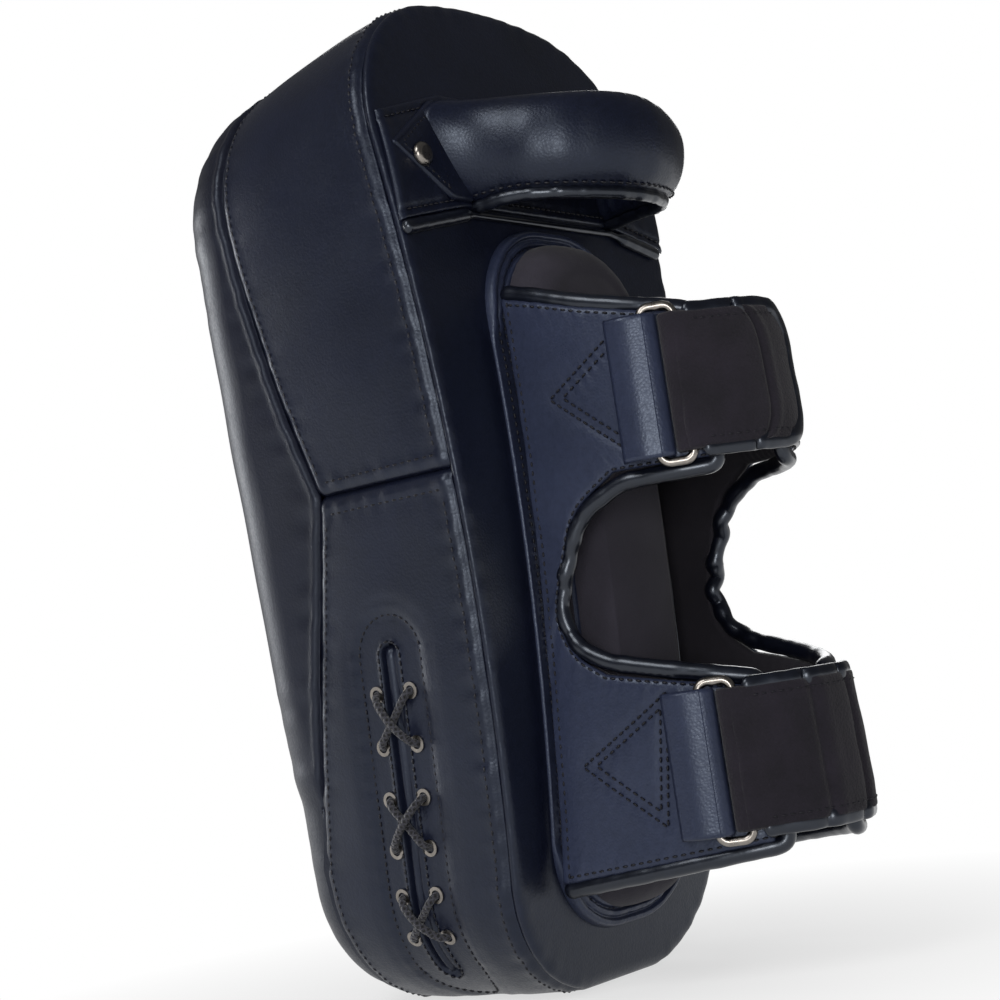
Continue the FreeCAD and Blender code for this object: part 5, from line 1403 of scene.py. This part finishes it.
def make_strap(which, free_end, tip, creases):
    """Strap from the far cuff round the ring's bar, and its folded back tail on its own body: loop
    fabric with a glossy bound edge, stitched inside it along the tail's long sides."""
    z, turn = RING_LEVELS[which], RING_TURN
    centre, tangent, outward = strap_frame(z)
    end = math.pi - math.acos(30.0 / 47.0)
    outer, inner, _, _ = strap_sheet(turn + 0.05, end, z - 27.6, z + 27.6, 0.6, STRAP_THICKNESS)
    piece = slab(which + "_strap_run", outer, inner, LOOP, "strap_loop")
    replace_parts(piece, which + "_strap")
    path = fold_path(8.0, -3.1, 3.1, 270, 2.2, 3.0)
    outer, inner = folded_strip(path, z - 27.2, z + 27.2, centre, tangent, outward)
    slab(which + "_strap_fold", outer, inner, LOOP, "strap_loop")
    body = which + "_tail"
    _, depth, half = cuff_sizes(z)
    pace = math.hypot(half * math.sin(turn), depth * math.cos(turn))
    start = turn - 2.0 / pace
    tail_end = math.pi - math.acos(free_end / 50.0)
    outer, inner, turns, heights = strap_sheet(start, tail_end, z - 27.0, z + 27.0, 3.9, 2.0, rows=130,
                                               creases=creases, tip=tip)
    ahead = (turns - turn) * pace
    crest = 4.35 - 1.6 * (ahead / 2.0) ** 2
    root_lift = np.where(ahead < 0, crest - 1.2, 3.15 * bell(ahead, 0, 8.0))
    _, normal = cuff_place(turns, heights, 0 * turns)
    outer = outer + root_lift[..., None] * normal
    inner = inner + root_lift[..., None] * normal
    piece = slab(which + "_tail_loop", outer, inner, LOOP, "strap_loop", body=body)
    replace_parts(piece, which + "_strap_tail")
    clear = int(np.argmax(ahead[:, 0] > 3.0))
    rim = lambda grid: np.concatenate([grid[clear:, 0], grid[-1, 1:-1], grid[clear:, -1][::-1]])
    facing = rim(normal)
    route = rim(outer) - 0.85 * facing
    route, facing = resample(route, 1.2, facing)
    along = lengths_along(route)
    size = 3.5 * (1 + 0.03 * ripple(along, (9.1, 0.6, 0.3), (15.3, 0.5, 1.0)))
    roll(which + "_tail_edge", route, unit(facing), size, BINDING, "binding", high=0.5, body=body)
    for column in (4, -5):
        facing = normal[clear + 4:, column]
        points = outer[clear + 4:, column] + 0.1 * facing
        stitch_row(which + "_tail_stitches", points, facing, pitch=3.3, length=2.2, radius=0.3)
    sew(which + "_tail_stitches", THREAD, "strap_loop", body=body)
    outer, inner, _, _ = strap_sheet(turn + 0.16, tail_end - 0.14, z - 22.0, z + 22.0, 2.85, 0.7, rows=50)
    piece = slab(which + "_tail_hooks", outer, inner, HOOKS, "hook_tape", body=body)
    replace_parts(piece, which + "_strap_hook_patch")
    edge_turn = np.linspace(turn + 0.06, end, 90)
    for edge, height in (("low", z - 27.4), ("top", z + 27.4)):
        points, normal = cuff_place(edge_turn, height + 0 * edge_turn, 1.5 + 0 * edge_turn)
        roll("%s_strap_edge_%s" % (which, edge), points, normal, 1.7, BINDING, "binding", sides=12)


# Build the pieces

make_upper_gusset()
make_lower_gusset()
make_strike_cover()
make_back_panel()
sew_cover()
make_tongue()
make_lace()
make_band()
make_grip()
make_grip_lining()
make_grip_edges()
make_end_tabs()
sew("grip_stitches", THREAD, "body_leather")
make_sleeve_base()
make_cuff("near")
make_cuff("far")
sew_triangles()
make_ring_tab("upper")
make_ring_tab("lower")
make_strap("upper", 9.0, 16.0, (0.62,))
make_strap("lower", 26.0, 6.0, (0.36, 0.62))
sew("sleeve_stitches", THREAD, "cuff_leather")

for node in ("lace_eyelets", "grip_rivet_left", "grip_rivet_right", "upper_ring", "lower_ring"):
    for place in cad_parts[node].material_slots:
        place.material = NICKEL


# Floor, light and camera

def make_floor():
    """Pale floor that keeps the object's shadow near it and glows white for the camera further
    out. Mirrored and transmitted rays see it white."""
    mesh = bpy.data.meshes.new("floor")
    mesh.from_pydata([(-6, -6, 0), (6, -6, 0), (6, 6, 0), (-6, 6, 0)], [], [(0, 1, 2, 3)])
    floor = bpy.data.objects.new("floor", mesh)
    bpy.context.scene.collection.objects.link(floor)
    floor.location = (0, 0, -0.0006)
    f = Finish("Pale floor", Roughness=0.9, Specular_IOR_Level=0.0)
    f.shader.inputs["Base Color"].default_value = (0.86, 0.86, 0.86, 1)
    glow = f.node("ShaderNodeEmission", {}, {"Strength": 1.0})
    path = f.node("ShaderNodeLightPath", {}, {}, "Is Camera Ray")
    gloss = f.node("ShaderNodeLightPath", {}, {}, "Is Glossy Ray")
    glass = f.node("ShaderNodeLightPath", {}, {}, "Is Transmission Ray")
    away = f.node("ShaderNodeVectorMath", {"operation": "LENGTH"}, {0: f.place}, "Value")
    far = path.larger(gloss).larger(glass) * (away.between(0.08, 0.34) * 0.35 + 0.65)
    out = f.tree.nodes["Material Output"]
    lit = Signal(f, f.shader.outputs[0])
    mixed = f.node("ShaderNodeMixShader", {}, {0: far, 1: lit, 2: glow})
    f.tree.links.new(mixed.socket, out.inputs["Surface"])
    floor.data.materials.append(f.material)


def make_world():
    """White backdrop for camera and transmission rays, and a faint even light for all others."""
    world = bpy.data.worlds.new("Studio")
    bpy.context.scene.world = world
    world.use_nodes = True
    nodes, links = world.node_tree.nodes, world.node_tree.links
    nodes.clear()
    path = nodes.new("ShaderNodeLightPath")
    lit, seen = nodes.new("ShaderNodeBackground"), nodes.new("ShaderNodeBackground")
    for backdrop, strength in ((lit, 0.12), (seen, 1.0)):
        backdrop.inputs["Color"].default_value = (1, 1, 1, 1)
        backdrop.inputs["Strength"].default_value = strength
    mix = nodes.new("ShaderNodeMixShader")
    either = nodes.new("ShaderNodeMath")
    either.operation = "MAXIMUM"
    links.new(path.outputs["Is Camera Ray"], either.inputs[0])
    links.new(path.outputs["Is Transmission Ray"], either.inputs[1])
    out = nodes.new("ShaderNodeOutputWorld")
    links.new(either.outputs[0], mix.inputs[0])
    links.new(lit.outputs[0], mix.inputs[1])
    links.new(seen.outputs[0], mix.inputs[2])
    links.new(mix.outputs[0], out.inputs[0])


def make_lamp(name, place, aim, size, power):
    """Square soft lamp at a place, turned to its aim."""
    data = bpy.data.lights.new(name, "AREA")
    data.shape = "SQUARE"
    data.size = size
    data.energy = power
    lamp = bpy.data.objects.new(name, data)
    bpy.context.scene.collection.objects.link(lamp)
    z = unit(np.array(place, float) - np.array(aim, float))
    x = unit(np.cross([0.0, 0.0, 1.0], z))
    y = np.cross(z, x)
    lamp.matrix_world = Matrix.Translation(place) @ turned(x, y, z)


def turned(x, y, z):
    """Rotation whose axes are the given ones."""
    return Matrix([list(x), list(y), list(z)]).transposed().to_4x4()


def make_camera():
    """Camera at the height of the pad's lower third, looking slightly up at the laced side and the
    sleeve, rolled so that the pad leans as it does in the picture."""
    az, el, lean = math.radians(38.0), math.radians(-5.0), math.radians(-8.5)
    forward = np.array([math.cos(el) * math.cos(az), math.cos(el) * math.sin(az), -math.sin(el)])
    level = unit(np.cross(forward, [0.0, 0.0, 1.0]))
    up = np.cross(level, forward)
    right = math.cos(lean) * level + math.sin(lean) * up
    top = -math.sin(lean) * level + math.cos(lean) * up
    data = bpy.data.cameras.new("Camera")
    data.sensor_width = 36.0
    data.lens = data.sensor_width * 2.062
    camera = bpy.data.objects.new("Camera", data)
    bpy.context.scene.collection.objects.link(camera)
    camera.matrix_world = Matrix.Translation((-0.7035, -0.5643, 0.1288)) @ turned(right, top, -forward)
    bpy.context.scene.camera = camera


make_floor()
make_world()
make_lamp("Key", (-1.6, -0.1, 1.5), (0, 0, 0.22), 0.9, 17.0)
make_lamp("Front", (-1.5, -1.0, 0.3), (0, 0, 0.2), 0.5, 11.0)
make_lamp("Side", (-0.35, 2.0, 0.5), (0, 0, 0.3), 0.8, 14.0)
make_lamp("Back", (1.5, 0.9, 0.9), (0, 0, 0.25), 0.9, 8.0)
make_camera()
bpy.context.scene.view_settings.view_transform = "Standard"
